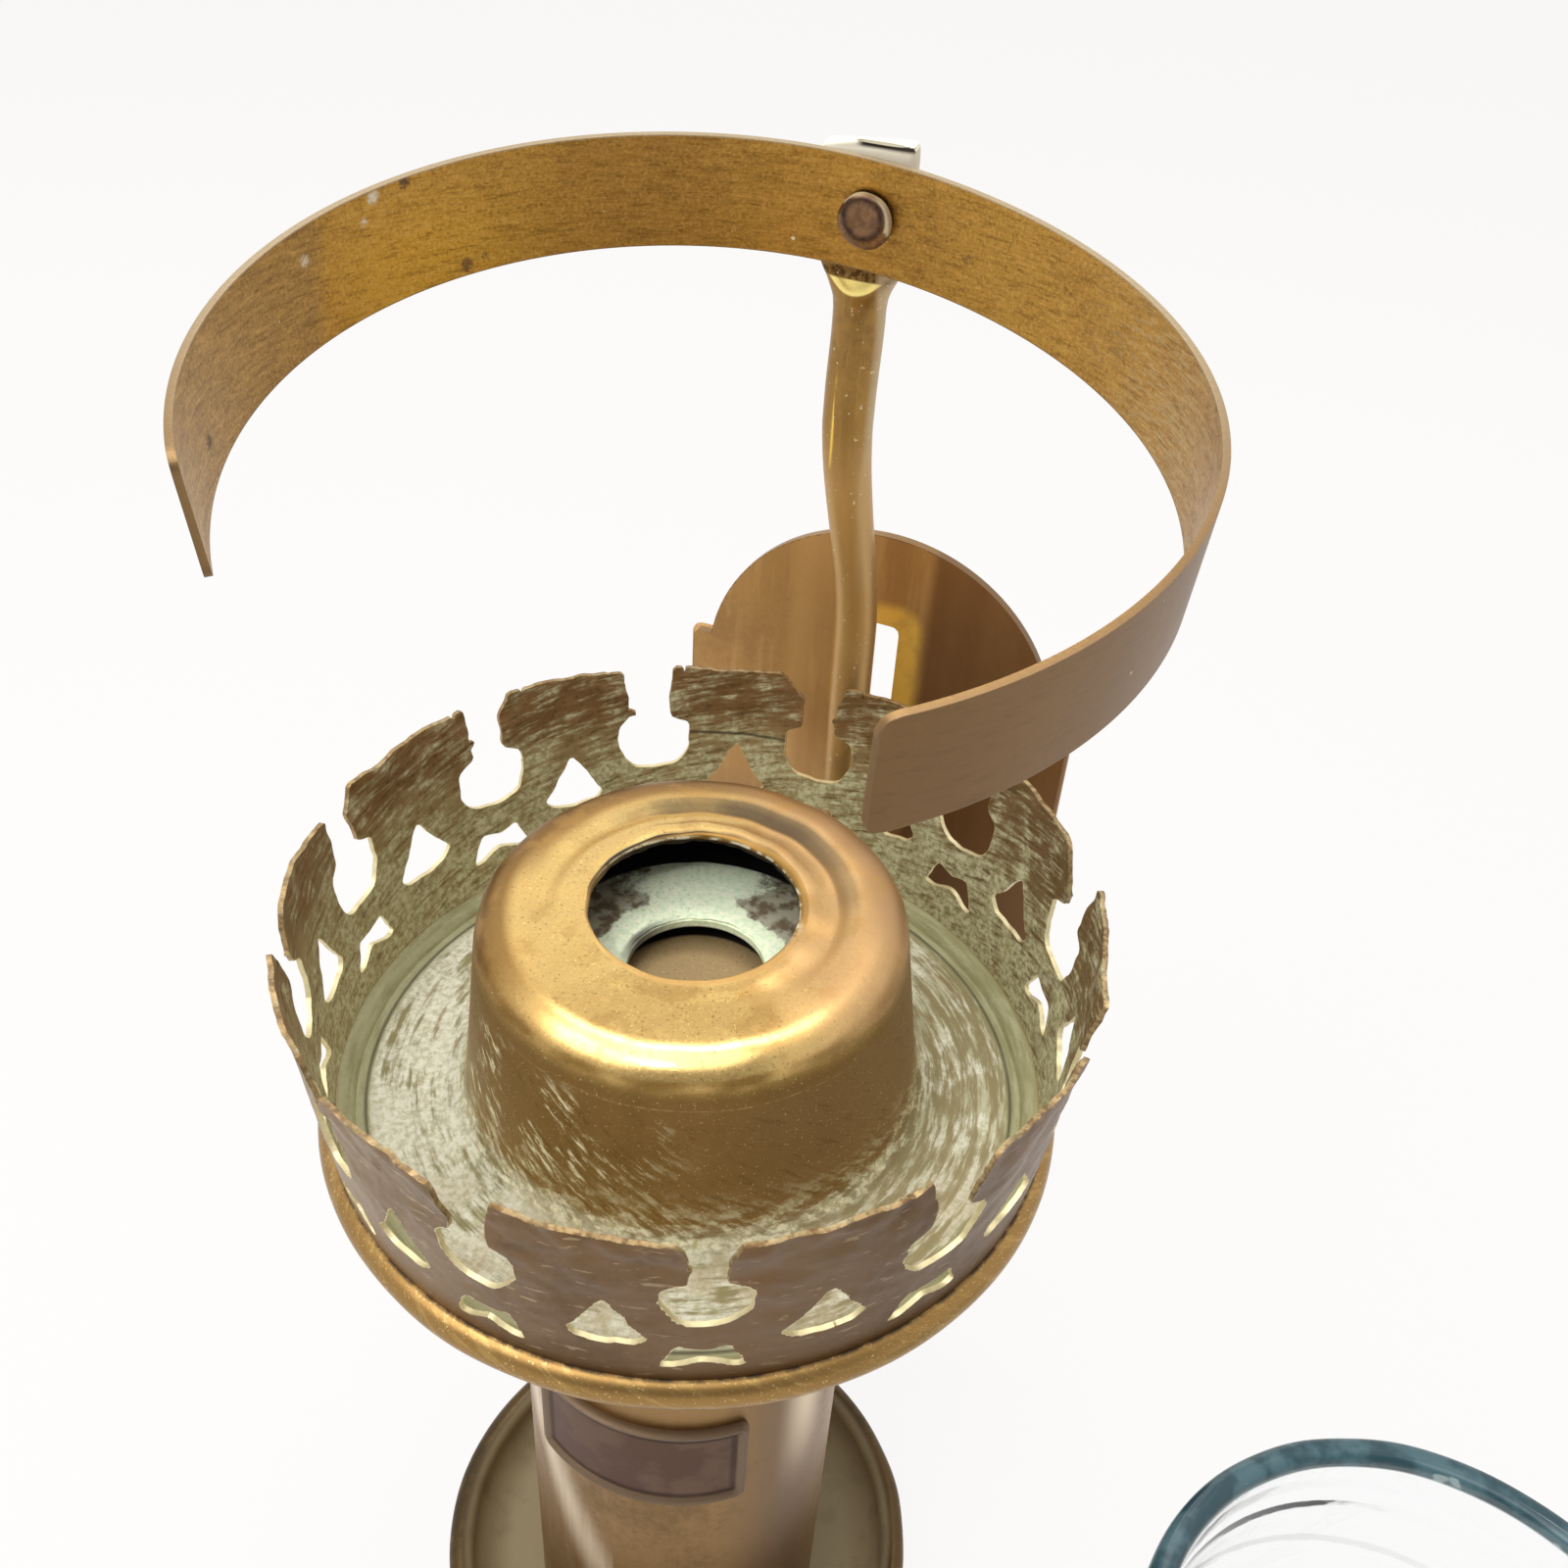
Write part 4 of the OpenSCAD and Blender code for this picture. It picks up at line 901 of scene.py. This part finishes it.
low_green = up.rise(20.0, 8.0) * 0.10
pierced.crust(inside * (strokes * 0.6 + bloom * 0.4 + low_green).rise(0.47, 0.63) * 0.75,
              (222, 224, 184), (160, 154, 110), 0.6)
pierced.coat(inside * (strokes * 0.6 + fine * 0.4).rise(0.47, 0.39) * 0.5, (78, 62, 34), 0.6)
pierced.coat(inside * up.bell(17.1, 0.35) * toward(turn, -18, 0.965, 0.985) * 0.8, (46, 36, 22), 0.6)
edge = pierced.mark("cut").rise(0.5, 0.9)
# Painted highlight: the cut edges low in the gaps are pale.
pierced.coat(edge * up.rise(19.5, 17.5) * (0.55 + fine * 0.45), (244, 232, 184), 0.4, 0.6)
pierced.coat(edge * up.rise(17.5, 19.5) * fine.rise(0.4, 0.6) * 0.6, (196, 170, 122), 0.4, 0.9)
crown_brass = pierced.done(0.04)
dress("pierced_crown", crown.run("pierced_crown", strip_mesh, crown_brass), crown_brass, "gallery",
      "crown_brass", "gallery_crown")


# The wall plate is cut from thicker sheet, with an arched head, square shoulders and a
# hanging slot. Its long sides are turned back to stand off the wall.
PLATE_FRONT, PLATE_SHEET = 49.8, 1.2


def plate_keep(x, z):
    arch = 22.3 - np.hypot(x, z - 117.4)
    body = block(x, z - 80.35, 49.0, 80.7, 0.6)
    slot = block(x, z - 122.5, 4.8, 11.6, 0.9)
    return np.minimum(np.maximum(arch, body), -slot)


plate_finish = Brass("plate_brass", (190, 146, 86), (172, 130, 76), 0.45, 140, 0.4, 0.18)
plate_finish.metal = plate_finish.metal * 0.45
rubbing = plate_finish.noise(0.6, 4, 0.6, (1, 1, 0.12), 8)
plate_finish.coat(rubbing.rise(0.5, 0.72) * 0.3, (234, 190, 124))
bands = plate_finish.noise(0.16, 2, 0.5, (1, 1, 0.04), 5)
plate_finish.coat(bands.rise(0.45, 0.6) * 0.4, (232, 186, 118))
looks_back = plate_finish.parts(plate_finish.node("ShaderNodeTexCoord", None, None, "Normal"))[1]
in_front = looks_back.rise(0.7, 0.2)
from_slot_x = plate_finish.x
from_slot_z = plate_finish.z - 122.5
beyond = (from_slot_x.maths("ABSOLUTE", from_slot_x) - 2.4).most(0)
over = (from_slot_z.maths("ABSOLUTE", from_slot_z) - 5.8).most(0)
halo = ((beyond * beyond + over * over) ** 0.5 + rubbing * 1.2).rise(4.2, 2.4)
# Painted reflection: the plate's front is darker to the right.
darker = (plate_finish.x + bands * 1.2 + rubbing * 0.6).rise(5.6, 7.6)
plate_finish.coat(in_front * darker * 0.85, (126, 86, 50))
plate_finish.coat(in_front * halo * (0.7 + 0.3 * plate_finish.noise(0.4).rise(0.35, 0.55)), (255, 206, 92), 0.3, 0.25)
# Painted shade: the front of the plate is darker below the gallery.
plate_finish.coat(in_front * plate_finish.z.rise(104, 92) * 0.7, (140, 108, 74))
plate_finish.coat(plate_finish.mark("cut").rise(0.6, 0.95) * 0.7, (120, 92, 58), 0.45)
plate_brass = plate_finish.done(0.03)
face = stamped("face", (-24.6, 39.9), (24.6, 139.8), 0.6, plate_keep, PLATE_SHEET)
face.transform(Matrix.Translation((0, (PLATE_FRONT + PLATE_SHEET) / 1000, 0)))


def hem(side):
    """A long side turned back flat on the sheet, as a bar with a round edge."""
    line = [(20.4, 51.0, 0.05), (23.0, 49.82, 0), (24.88, 49.82, 1.15), (24.88, 52.18, 1.15),
            (20.4, 52.18, 0.3)]
    section = softened(line)
    points, faces = [], []
    levels = [40.0, 40.25, 120.35, 120.68]
    for level, shrink in zip(levels, (0.25, 0, 0, 0.3)):
        points += [(side * (23 + (x - 23) * (1 - shrink * 0.2)), 51 + (y - 51) * (1 - shrink), level)
                   for x, y in section]
    count = len(section)
    for row in range(3):
        for k in range(count):
            a = row * count + k
            b = row * count + (k + 1) % count
            faces.append((a, b, b + count, a + count))
    faces.append(tuple(range(count)))
    faces.append(tuple(3 * count + k for k in range(count)))
    return close_up("hem", points, faces)


plate = joined("wall_plate_hemmed", face, hem(-1), hem(1))
dress("wall_plate_hemmed", plate, plate_brass, "lamp", "plate_brass", "wall_plate")

# Four dark rivets fasten the stand-off bracket to the wall plate, and a collar and a nut
# hold the rod's foot in the bracket's shelf.
oxide = Brass("rivet_metal", (142, 110, 80), (108, 82, 62), 0.5, 170, 0.8)
from_rivet = oxide.x + 1.2
over_rivet = (oxide.z - 178.6) / math.cos(math.radians(11.4))
off_middle = (from_rivet * from_rivet + over_rivet * over_rivet) ** 0.5
on_ring = oxide.z.rise(170, 172)
mottle = oxide.noise(1.1, 4, 0.65, shift=6)
oxide.coat(on_ring * mottle.rise(0.4, 0.6) * 0.5, (92, 68, 60), 0.5)
oxide.coat(on_ring * off_middle.bell(1.85, 0.55) * (0.45 + mottle * 0.6), (50, 38, 38), 0.5)
# Painted highlight: the pale rim is brightest on its upper right.
lit_upper_right = (over_rivet + from_rivet * 0.6).rise(-0.6, 1.2)
broken = (mottle * 0.6 + lit_upper_right * 0.5).rise(0.42, 0.6)
oxide.coat(on_ring * off_middle.rise(2.1, 2.3) * broken * 0.85, (222, 210, 176), 0.6, 0.4)
rivet_metal = oxide.done(0.05)
refinish(rivet_metal, "rivet_metal", "bracket_rivets")


# The rod is round brass, bent in two easy bends. Its head is hammered flat, with a painted
# highlight on the step where the flat begins, and the squashed end has stayed open as a slit.
RIVET = Matrix.Translation((-0.0012, 0.0359, 0.1785)) @ Matrix.Rotation(math.radians(11.4), 4, "X")
ROD = 2.35
HEAD_MIDDLE = 2.45


def lofted(name, rings):
    """A skin over rings of points in mm, closed at both ends."""
    count = len(rings[0])
    points = [p for ring in rings for p in ring]
    faces = []
    for row in range(len(rings) - 1):
        for k in range(count):
            a = row * count + k
            b = row * count + (k + 1) % count
            faces.append((a, b, b + count, a + count))
    faces.append(tuple(range(count)))
    faces.append(tuple((len(rings) - 1) * count + k for k in range(count)))
    return close_up(name, points, faces)


def easing(x, low, high):
    t = min(1, max(0, (x - low) / (high - low)))
    return t * t * (3 - 2 * t)


SWAY = ([69, 95, 118, 130, 140, 148, 156, 165, 171, 178.5, 184.5],
        [0, -0.2, -0.7, -0.8, -0.9, -1.25, -1.8, -1.75, -1.6, -1.2, -0.9])


def rod_middle(z):
    """The rod's centre line at a height."""
    head = RIVET @ Vector((0, HEAD_MIDDLE / 1000, (z - 178.5) / 1000 / math.cos(math.radians(11.4))))
    lean = easing(z, 130, 153)
    foot_y, knee_y = 43.0, 40.1
    y = foot_y + (knee_y - foot_y) * lean
    y = y + (head.y * 1000 - y) * easing(z, 160, 171)
    return Vector((-1.2 * easing(z, 130, 156) + float(np.interp(z, *SWAY)), y, z))


def oval(middle, wide, deep, square, up, steps=40, front=None):
    """A ring of points: an ellipse that grows square as square rises from 2, cut flat at front."""
    back = up.cross(Vector((1, 0, 0))).normalized() * -1
    ring = []
    for i in range(steps):
        a = 2 * math.pi * i / steps
        c, s = math.cos(a), math.sin(a)
        c = math.copysign(abs(c) ** (2 / square), c)
        s = math.copysign(abs(s) ** (2 / square), s)
        away = deep * s
        if front is not None:
            away = max(away, -front)
        ring.append(middle + Vector((1, 0, 0)) * wide * c + back * away)
    return ring


rings = []
for z in np.concatenate([np.linspace(69.2, 128, 8), np.linspace(130, 168.4, 30)]):
    ahead_of = rod_middle(z + 0.5) - rod_middle(z - 0.5)
    wide = ROD * (1 + 0.14 * easing(z, 138, 158))
    rings.append(oval(rod_middle(z), wide, ROD, 2, ahead_of.normalized()))
tilt = RIVET.to_3x3() @ Vector((0, 0, 1))
for along in np.concatenate([np.linspace(-9.6, -5.6, 17), np.linspace(-5.0, 5.7, 13), [5.9, 6.0]]):
    flat = min(1, max(0, (along + 8.5) / 2.4))
    spread = easing(along, -10.5, -4.5)
    at = RIVET @ Vector((0, HEAD_MIDDLE / 1000, along / 1000)) * 1000
    at.x += float(np.interp(at.z, *SWAY))
    draw_in = 0.25 * max(0, (along - 5.6) / 0.4)
    skewed = 0.09 * easing(along, 0, 5.7)
    deep = ROD + (1.2 - ROD) * easing(along, -8.5, -5.5) - draw_in * 0.6
    ring = oval(at, ROD * 1.14 + (4.6 - ROD * 1.14) * spread - draw_in, deep,
                2 + 3.5 * easing(along, -8, -4), tilt, front=ROD + (1.2 - ROD) * flat)
    rings.append([p + tilt * skewed * min(0, p.x - at.x - 4.6) for p in ring])
for wide, deep, along in ((2.3, 0.32, 6.0), (2.2, 0.26, 4.6)):
    at = RIVET @ Vector((0.0012, (HEAD_MIDDLE - 0.72) / 1000, along / 1000)) * 1000
    at.x += SWAY[1][-1]
    rings.append(oval(at, wide, deep, 3, tilt))

rod_finish = Brass("rod_brass", (158, 122, 68), (134, 104, 62), 0.5, 190, 0.6)
lines = rod_finish.noise(1.5, 4, 0.6, (1, 1, 0.05), 3)
rod_finish.coat(lines.rise(0.5, 0.75) * 0.4, (196, 156, 86))
beside = (rod_finish.x + 2.85) / 2.7
step_foot = rod_finish.z - (170.25 + beside * beside * 1.4)
facet = step_foot.rise(-0.1, 0.15) * rod_finish.z.rise(171.8, 171.6)
over_step = rod_finish.z.rise(171.6, 171.8)
rod_finish.coat(over_step * rod_finish.z.rise(174.4, 172.4) * (0.35 + rod_finish.noise(2.0, 3, 0.6).rise(0.45, 0.6) * 0.6), (88, 62, 30), 0.55)
# Painted highlight: the step's facet is bright.
rod_finish.rub_and_highlight(facet * 0.95, (255, 232, 142))
# Painted highlight: a narrow bright streak down the left of the rod.
highlight_streak = beside.bell(-0.35, 0.1) * rod_finish.z.bell(157, 7).rise(0.1, 0.4) * lines.rise(0.42, 0.5)
rod_finish.rub_and_highlight(highlight_streak, (255, 214, 96))
# Painted light: the lower right side of the rod is paler.
rod_finish.coat(beside.rise(0.72, 0.95) * rod_finish.z.rise(134, 142) * 0.5, (206, 188, 156), 0.4)
rod_finish.coat(rod_finish.z.rise(181.4, 182.2), (250, 244, 222), 0.75, 0)
# Painted shade: the slit in the squashed end is dark.
ragged = rod_finish.noise(1.6, 4, 0.7, shift=11)
slit = rod_finish.y + (ragged - 0.5) * 1.6
on_end = rod_finish.z.rise(184.1, 184.5)
rod_finish.coat(on_end * slit.bell(36.15, 0.6).rise(0.1, 0.5) * rod_finish.x.rise(-3.4, -2.4), (40, 30, 20), 0.8, 0.1)
# Painted light: the lower rod, in the shade before the plate, is paler and less metallic.
low = rod_finish.z.rise(158, 148)
rod_finish.coat(low * 0.75, (206, 164, 100), 0.4, 0.35)
lichen = rod_finish.noise(0.7, 4, 0.6, shift=6).rise(0.6, 0.72) * rod_finish.z.rise(132, 126)
rod_finish.crust(lichen * 0.5, (188, 180, 142))
fleck = rod_finish.noise(1.7, 2, 0.5, shift=19).rise(0.68, 0.72)
rod_finish.coat(fleck * 0.8, (228, 214, 176), 0.6, 0.2)
rod_brass = rod_finish.done()
dress("bent_rod", lofted("bent_rod", rings), rod_brass, "lamp", "rod_brass", "lamp_rod", sharp=22)
refinish(rod_brass, "rod_brass", "rod_collar", "rod_nut", "ring_washer")


# The ring is a flat strap bent into an open hoop. It swivels on one rivet through the
# rod's head. Inside it is golden, with wear along its length, and outside it is dull.
RING_R, RING_T, RING_H = 37.0, 0.6, 10.7
REACH_LEFT, REACH_RIGHT = 134.4, 136.9
RING_TILT = Matrix.Rotation(math.radians(4.7), 4, "Y")
long_left = math.radians(REACH_LEFT) * RING_R
long_right = math.radians(REACH_RIGHT) * RING_R


def strap_keep(x, z):
    middle = (long_right - long_left) / 2
    return block(x - middle, z, long_left + long_right, RING_H, 1.3)


strap = stamped("strap", (-long_left, -5.6), (long_right, 5.6), 0.7, strap_keep, RING_T)
hoop = bend.run("hoop", strap, rivet_metal, Radius=RING_R - RING_T / 2, Middle=0.0, Height=0.0)
hoop.transform(RIVET @ RING_TILT @ Matrix.Translation((0, -RING_R / 1000, 0))
               @ Matrix.Rotation(math.pi, 4, "Z") @ Matrix.Scale(-1, 4, (1, 0, 0)))
hoop.flip_normals()

# Its right side has been sprung outward by hand.
for vertex in hoop.vertices:
    away = Vector((vertex.co.x + 0.0012, vertex.co.y + 0.0004, 0))
    swung = math.degrees(math.atan2(away.x, away.y))
    share = min(1, max(0, (swung - 6) / 136))
    vertex.co += away.normalized() * 0.0018 * math.sin(math.pi * share) ** 2
ring_finish = Brass("ring_brass", (178, 134, 62), (158, 116, 56), 0.4, 220, 0.7, 0.5)
turn, out = ring_finish.round_about(-1.2, -0.4)
along = ring_finish.node("ShaderNodeCombineXYZ", None,
                         {"X": turn * 22, "Y": ring_finish.z * 4.2, "Z": out * 0.2})
lines = ring_finish.noise(0.5, 5, 0.7, place=along, shift=14)
outside = ring_finish.mark("side")
inside = 1 - outside
# Painted shade: inside, the left end of the strap is dull.
ring_finish.coat(inside * turn.rise(math.radians(-83), math.radians(-87)) * 0.8, (168, 132, 74), 0.5, 0.9)
# Painted sheen: the golden part inside is brighter low down.
golden = turn.bell(math.radians(-68), math.radians(30)) * ring_finish.z.rise(183, 174)
ring_finish.coat(inside * golden * turn.rise(math.radians(-87), math.radians(-83)) * (0.35 + ring_finish.fine * 0.5),
                 (198, 148, 44), 0.28)
ring_finish.coat(inside * turn.bell(math.radians(-28), math.radians(26)) * 0.5, (150, 114, 62), 0.4)
grazed = ring_finish.noise(1.0, 4, 0.7, place=along, shift=3)
ring_finish.coat(inside * grazed.rise(0.55, 0.66) * 0.5, (104, 76, 36))
speck = ring_finish.noise(3.2, 4, 0.65, shift=44)
ring_finish.coat(inside * speck.rise(0.52, 0.62) * 0.25, (226, 184, 104), 0.3)
ring_finish.coat(inside * speck.rise(0.45, 0.36) * 0.35, (100, 72, 34), 0.5)
ring_finish.height = ring_finish.height + inside * speck * 1.2
ring_finish.coat(inside * lines.rise(0.52, 0.64) * 0.3, (214, 168, 86), 0.3)
ring_finish.coat(inside * lines.rise(0.46, 0.38) * 0.35, (106, 76, 34), 0.45)
ring_finish.coat(inside * lines.rise(0.62, 0.7) * turn.bell(math.radians(-40), math.radians(60)) * 0.6, (84, 58, 28))
ring_finish.coat(inside * grazed.rise(0.4, 0.3) * 0.35, (228, 182, 92), 0.28)
ring_finish.coat(inside * turn.bell(math.radians(58), math.radians(24)) * grazed.rise(0.45, 0.6) * 0.4,
                 (226, 204, 150), 0.34)
ring_finish.coat(outside * 0.9, (122, 94, 64), 0.42, 1)
ring_finish.coat(outside * turn.bell(math.radians(20), math.radians(40)) * 0.6, (176, 150, 122), 0.4)
ring_finish.coat(outside * lines.rise(0.5, 0.68) * 0.35, (104, 80, 58))

# Dents, and drops of old whitewash, on its inside.
# Each mark: degrees round from the rivet, height on the strap, size and colour.
RING_MARKS = [(16, -0.8, 0.5, (78, 56, 34)), (-68, 5.0, 0.6, (90, 66, 38)), (-45, 3.7, 0.3, (96, 70, 40)),
              (-60, -4.3, 0.7, (118, 82, 32)), (-57, -3.9, 0.4, (112, 78, 32)),
              (-116, -2.0, 0.7, (96, 76, 56)), (-86, 2.5, 0.5, (236, 230, 206)),
              (-75, 3.0, 0.4, (240, 234, 210)), (-73, 4.7, 0.6, (244, 240, 220))]
for swung, high, reach, colour in RING_MARKS:
    swung = math.radians(swung)
    on_strap = Vector((math.sin(swung) * (RING_R - RING_T), math.cos(swung) * (RING_R - RING_T) - RING_R, high))
    place = RIVET @ RING_TILT @ (on_strap / 1000) * 1000
    away = ring_finish.node("ShaderNodeVectorMath", {"operation": "DISTANCE"},
                            {0: ring_finish.place, 1: tuple(place)}, "Value")
    ring_finish.coat((away + speck * 1.4).rise(reach + 0.9, reach + 0.4) * inside * 0.85, colour, 0.6, 0.2)
flecks = ring_finish.noise(0.8, 2, 0.5, shift=31).rise(0.75, 0.78)
ring_finish.coat(flecks * 0.85, (232, 222, 190), 0.6, 0.1)
edge = ring_finish.mark("cut").rise(0.6, 0.95)
ring_finish.coat(edge * 0.8, (136, 110, 78), 0.45)
ring_finish.coat(edge * ring_finish.z.rise(172, 180) * (0.3 + speck * 0.5), (214, 198, 164), 0.4)
ring_brass = ring_finish.done(0.03)
dress("open_ring", hoop, ring_brass, "ring", "ring_brass", "retaining_ring")

# The ring's rivet has a flat hammered head, dark, with a pale rim where it was set, painted brightest on its upper
# right as a highlight.
rivet_line = softened([(0, -1.9, 0), (1.5, -1.95, 0.3), (2.62, -1.75, 0.45), (2.5, -0.68, 0.15), (1.5, -0.66, 0),
                       (1.5, 4.0, 0), (2.2, 4.0, 0.1), (1.7, 4.7, 0.3), (0, 4.74, 0)])


def rivet_drift(turn, r, z):
    return r + (0.07 * lump(turn, z, 15, 1) if r > 2 else 0), z + 0.05 * lump(turn, r, 16, 1)


upright_rivet = RIVET @ Matrix.Rotation(math.radians(-90), 4, "X")
dress("swivel_rivet", spun("swivel_rivet", rivet_line, 72, rivet_drift, upright_rivet), rivet_metal, "lamp",
      "rivet_metal", "ring_rivet")

# The chimney is clear drawn glass: a straight body on a flared foot, with the rim ground
# and fire-polished. It has been lifted off and stands beside the lamp.
GLASS_AT = Matrix.Translation((0.0803, -0.0277, 0))
FLARE_R = (7.2 ** 2 + 16 ** 2) / (2 * 7.2)
flare = [p for p in around(25.8 + FLARE_R, 18, FLARE_R, 222, 180, 14) if p[0] < 32.6]
flare_in = [p for p in around(25.8 + FLARE_R, 18, FLARE_R + 2.4, 180, 222, 14) if p[0] < 30.2]
shoulder_out = [(25.8, 70.7, 9), (24.7, 80.7, 9)]
shoulder_in = [(22.3, 80.7, 9), (23.4, 70.7, 9)]
chimney_corners = ([(30.6, 0.05, 0.6), (32.95, 0.05, 0.6), (32.95, 2.0, 0.5)]
                   + [(x, z, 0) for x, z in flare] + shoulder_out
                   + [(24.7, 89.65, 1.15), (22.3, 89.65, 1.15)] + shoulder_in
                   + [(x, z, 0) for x, z in flare_in] + [(30.6, 2.0, 0.3)])


def glass_drift(turn, r, z):
    top_share = max(0, (z - 84) / 6)
    return r - 0.06 * (1 + lump(turn, z, 18)) * top_share, z - 0.12 * (1 + lump(turn, 0, 19)) * top_share


glass = Finish("clear_glass", Roughness=0.02, IOR=1.5, Metallic=0.0)
glass.shader.inputs["Transmission Weight"].default_value = 1
glass.shader.inputs["Base Color"].default_value = tint(252, 254, 254)
glass.relief(glass.noise(0.2, 2, 0.5), 0.03)
cloud = glass.noise(0.2, 3, 0.6, shift=2)
teal = glass.mix(cloud.rise(0.42, 0.58), tint(40, 72, 81), tint(74, 106, 114))
teal = glass.mix(cloud.rise(0.64, 0.68), teal, tint(150, 168, 170))
ground = glass.node("ShaderNodeBsdfPrincipled", None, {"Base Color": teal, "Roughness": 0.16, "IOR": 1.5})
rim = glass.z.rise(87.9, 88.3) * 0.95
both = glass.node("ShaderNodeMixShader", None, {0: rim, 1: Reading(glass, glass.shader.outputs[0]), 2: ground})
glass.tree.links.new(both.port, glass.tree.nodes["Material Output"].inputs["Surface"])
dress("glass_chimney_blown", spun("glass_chimney_blown", softened(chimney_corners), 160, glass_drift, GLASS_AT),
      glass.material, "chimney", "clear_glass", "glass_chimney")


# The table is a white sheet. It shows as white, and keeps a faint shadow
# of the lamp.
def lit_white(rays):
    """1 for a ray that comes from the camera, off a shiny surface or through glass."""
    ports = rays.port.node.outputs
    kinds = [Reading(rays.sheet, ports[name])
             for name in ("Is Camera Ray", "Is Glossy Ray", "Is Transmission Ray")]
    return kinds[0].most(kinds[1]).most(kinds[2])


table_mesh = bpy.data.meshes.new("table_top")
table_mesh.from_pydata([(-3, -3, 0), (3, -3, 0), (3, 3, 0), (-3, 3, 0)], [], [(0, 1, 2, 3)])
table_top = bpy.data.objects.new("table_top", table_mesh)
table_top.location.z = -0.0002
bpy.context.scene.collection.objects.link(table_top)
table_paint = bpy.data.materials.new("white_table")
table_paint.use_nodes = True
white = Sheet(table_paint.node_tree)
white.tree.nodes.clear()
lit = white.node("ShaderNodeBsdfDiffuse", None, {"Color": tint(238, 234, 232)})
shown = white.node("ShaderNodeEmission", None, {"Color": tint(255, 254, 253), "Strength": 1.0})
glow = lit_white(white.node("ShaderNodeLightPath")) * 0.9
both = white.node("ShaderNodeMixShader", None, {0: glow, 1: lit, 2: shown})
white_output = white.tree.nodes.new("ShaderNodeOutputMaterial")
white.tree.links.new(both.port, white_output.inputs["Surface"])
table_mesh.materials.append(table_paint)

# The room is white too. Shiny brass sees a darker patch of it where the photographer stood.
world = bpy.data.worlds.new("studio")
bpy.context.scene.world = world
world.use_nodes = True
sky = Sheet(world.node_tree)
sky.tree.nodes.clear()
rays = sky.node("ShaderNodeLightPath")
glossy_ray = Reading(sky, rays.port.node.outputs["Is Glossy Ray"])
toward_sky = sky.node("ShaderNodeTexCoord", None, None, "Generated")
STAND = (0.32, -0.754, 0.574)
facing_stand = sky.node("ShaderNodeVectorMath", {"operation": "DOT_PRODUCT"},
                        {0: toward_sky, 1: STAND}, "Value")
dimmed = 1 - facing_stand.rise(0.5, 0.92) * 0.62 * glossy_ray
soft = sky.node("ShaderNodeBackground", None, {"Color": tint(250, 246, 243), "Strength": 0.46})
bright = sky.node("ShaderNodeBackground", None, {"Color": tint(255, 252, 250), "Strength": dimmed})
both = sky.node("ShaderNodeMixShader", None, {0: lit_white(rays), 1: soft, 2: bright})
world_output = sky.tree.nodes.new("ShaderNodeOutputWorld")
sky.tree.links.new(both.port, world_output.inputs["Surface"])


def lamp_box(name, place, wide, deep, strength):
    """A flat lamp that looks at the gallery, and shows that bright in polished metal."""
    light = bpy.data.lights.new(name, "AREA")
    light.shape = "RECTANGLE"
    light.size = wide
    light.size_y = deep
    light.energy = strength * math.pi * wide * deep
    holder = bpy.data.objects.new(name, light)
    holder.location = place
    holder.rotation_euler = (Vector((0, 0, 0.1)) - Vector(place)).to_track_quat("-Z", "Y").to_euler()
    bpy.context.scene.collection.objects.link(holder)


lamp_box("ceiling_strip", (-0.05, 0.15, 0.75), 0.5, 0.16, 6.2)
lamp_box("ceiling_panel", (-0.05, -0.26, 0.85), 0.9, 0.55, 1.9)
lamp_box("window", (-0.3, -0.5, 0.7), 0.5, 0.5, 2.9)

# A narrow beam down through the flame's hole, as daylight fell on the crusted cap.
beam = bpy.data.lights.new("daylight_in_the_hole", "SPOT")
beam.spot_size = math.radians(3.2)
beam.spot_blend = 0.5
beam.shadow_soft_size = 0.02
beam.energy = 4.5
holder = bpy.data.objects.new("daylight_in_the_hole", beam)
holder.location = (0.02, -0.25, 0.45)
holder.rotation_euler = (Vector((0, 0.002, 0.119)) - holder.location).to_track_quat("-Z", "Y").to_euler()
bpy.context.scene.collection.objects.link(holder)

view_settings = bpy.context.scene.view_settings
view_settings.view_transform = "Standard"
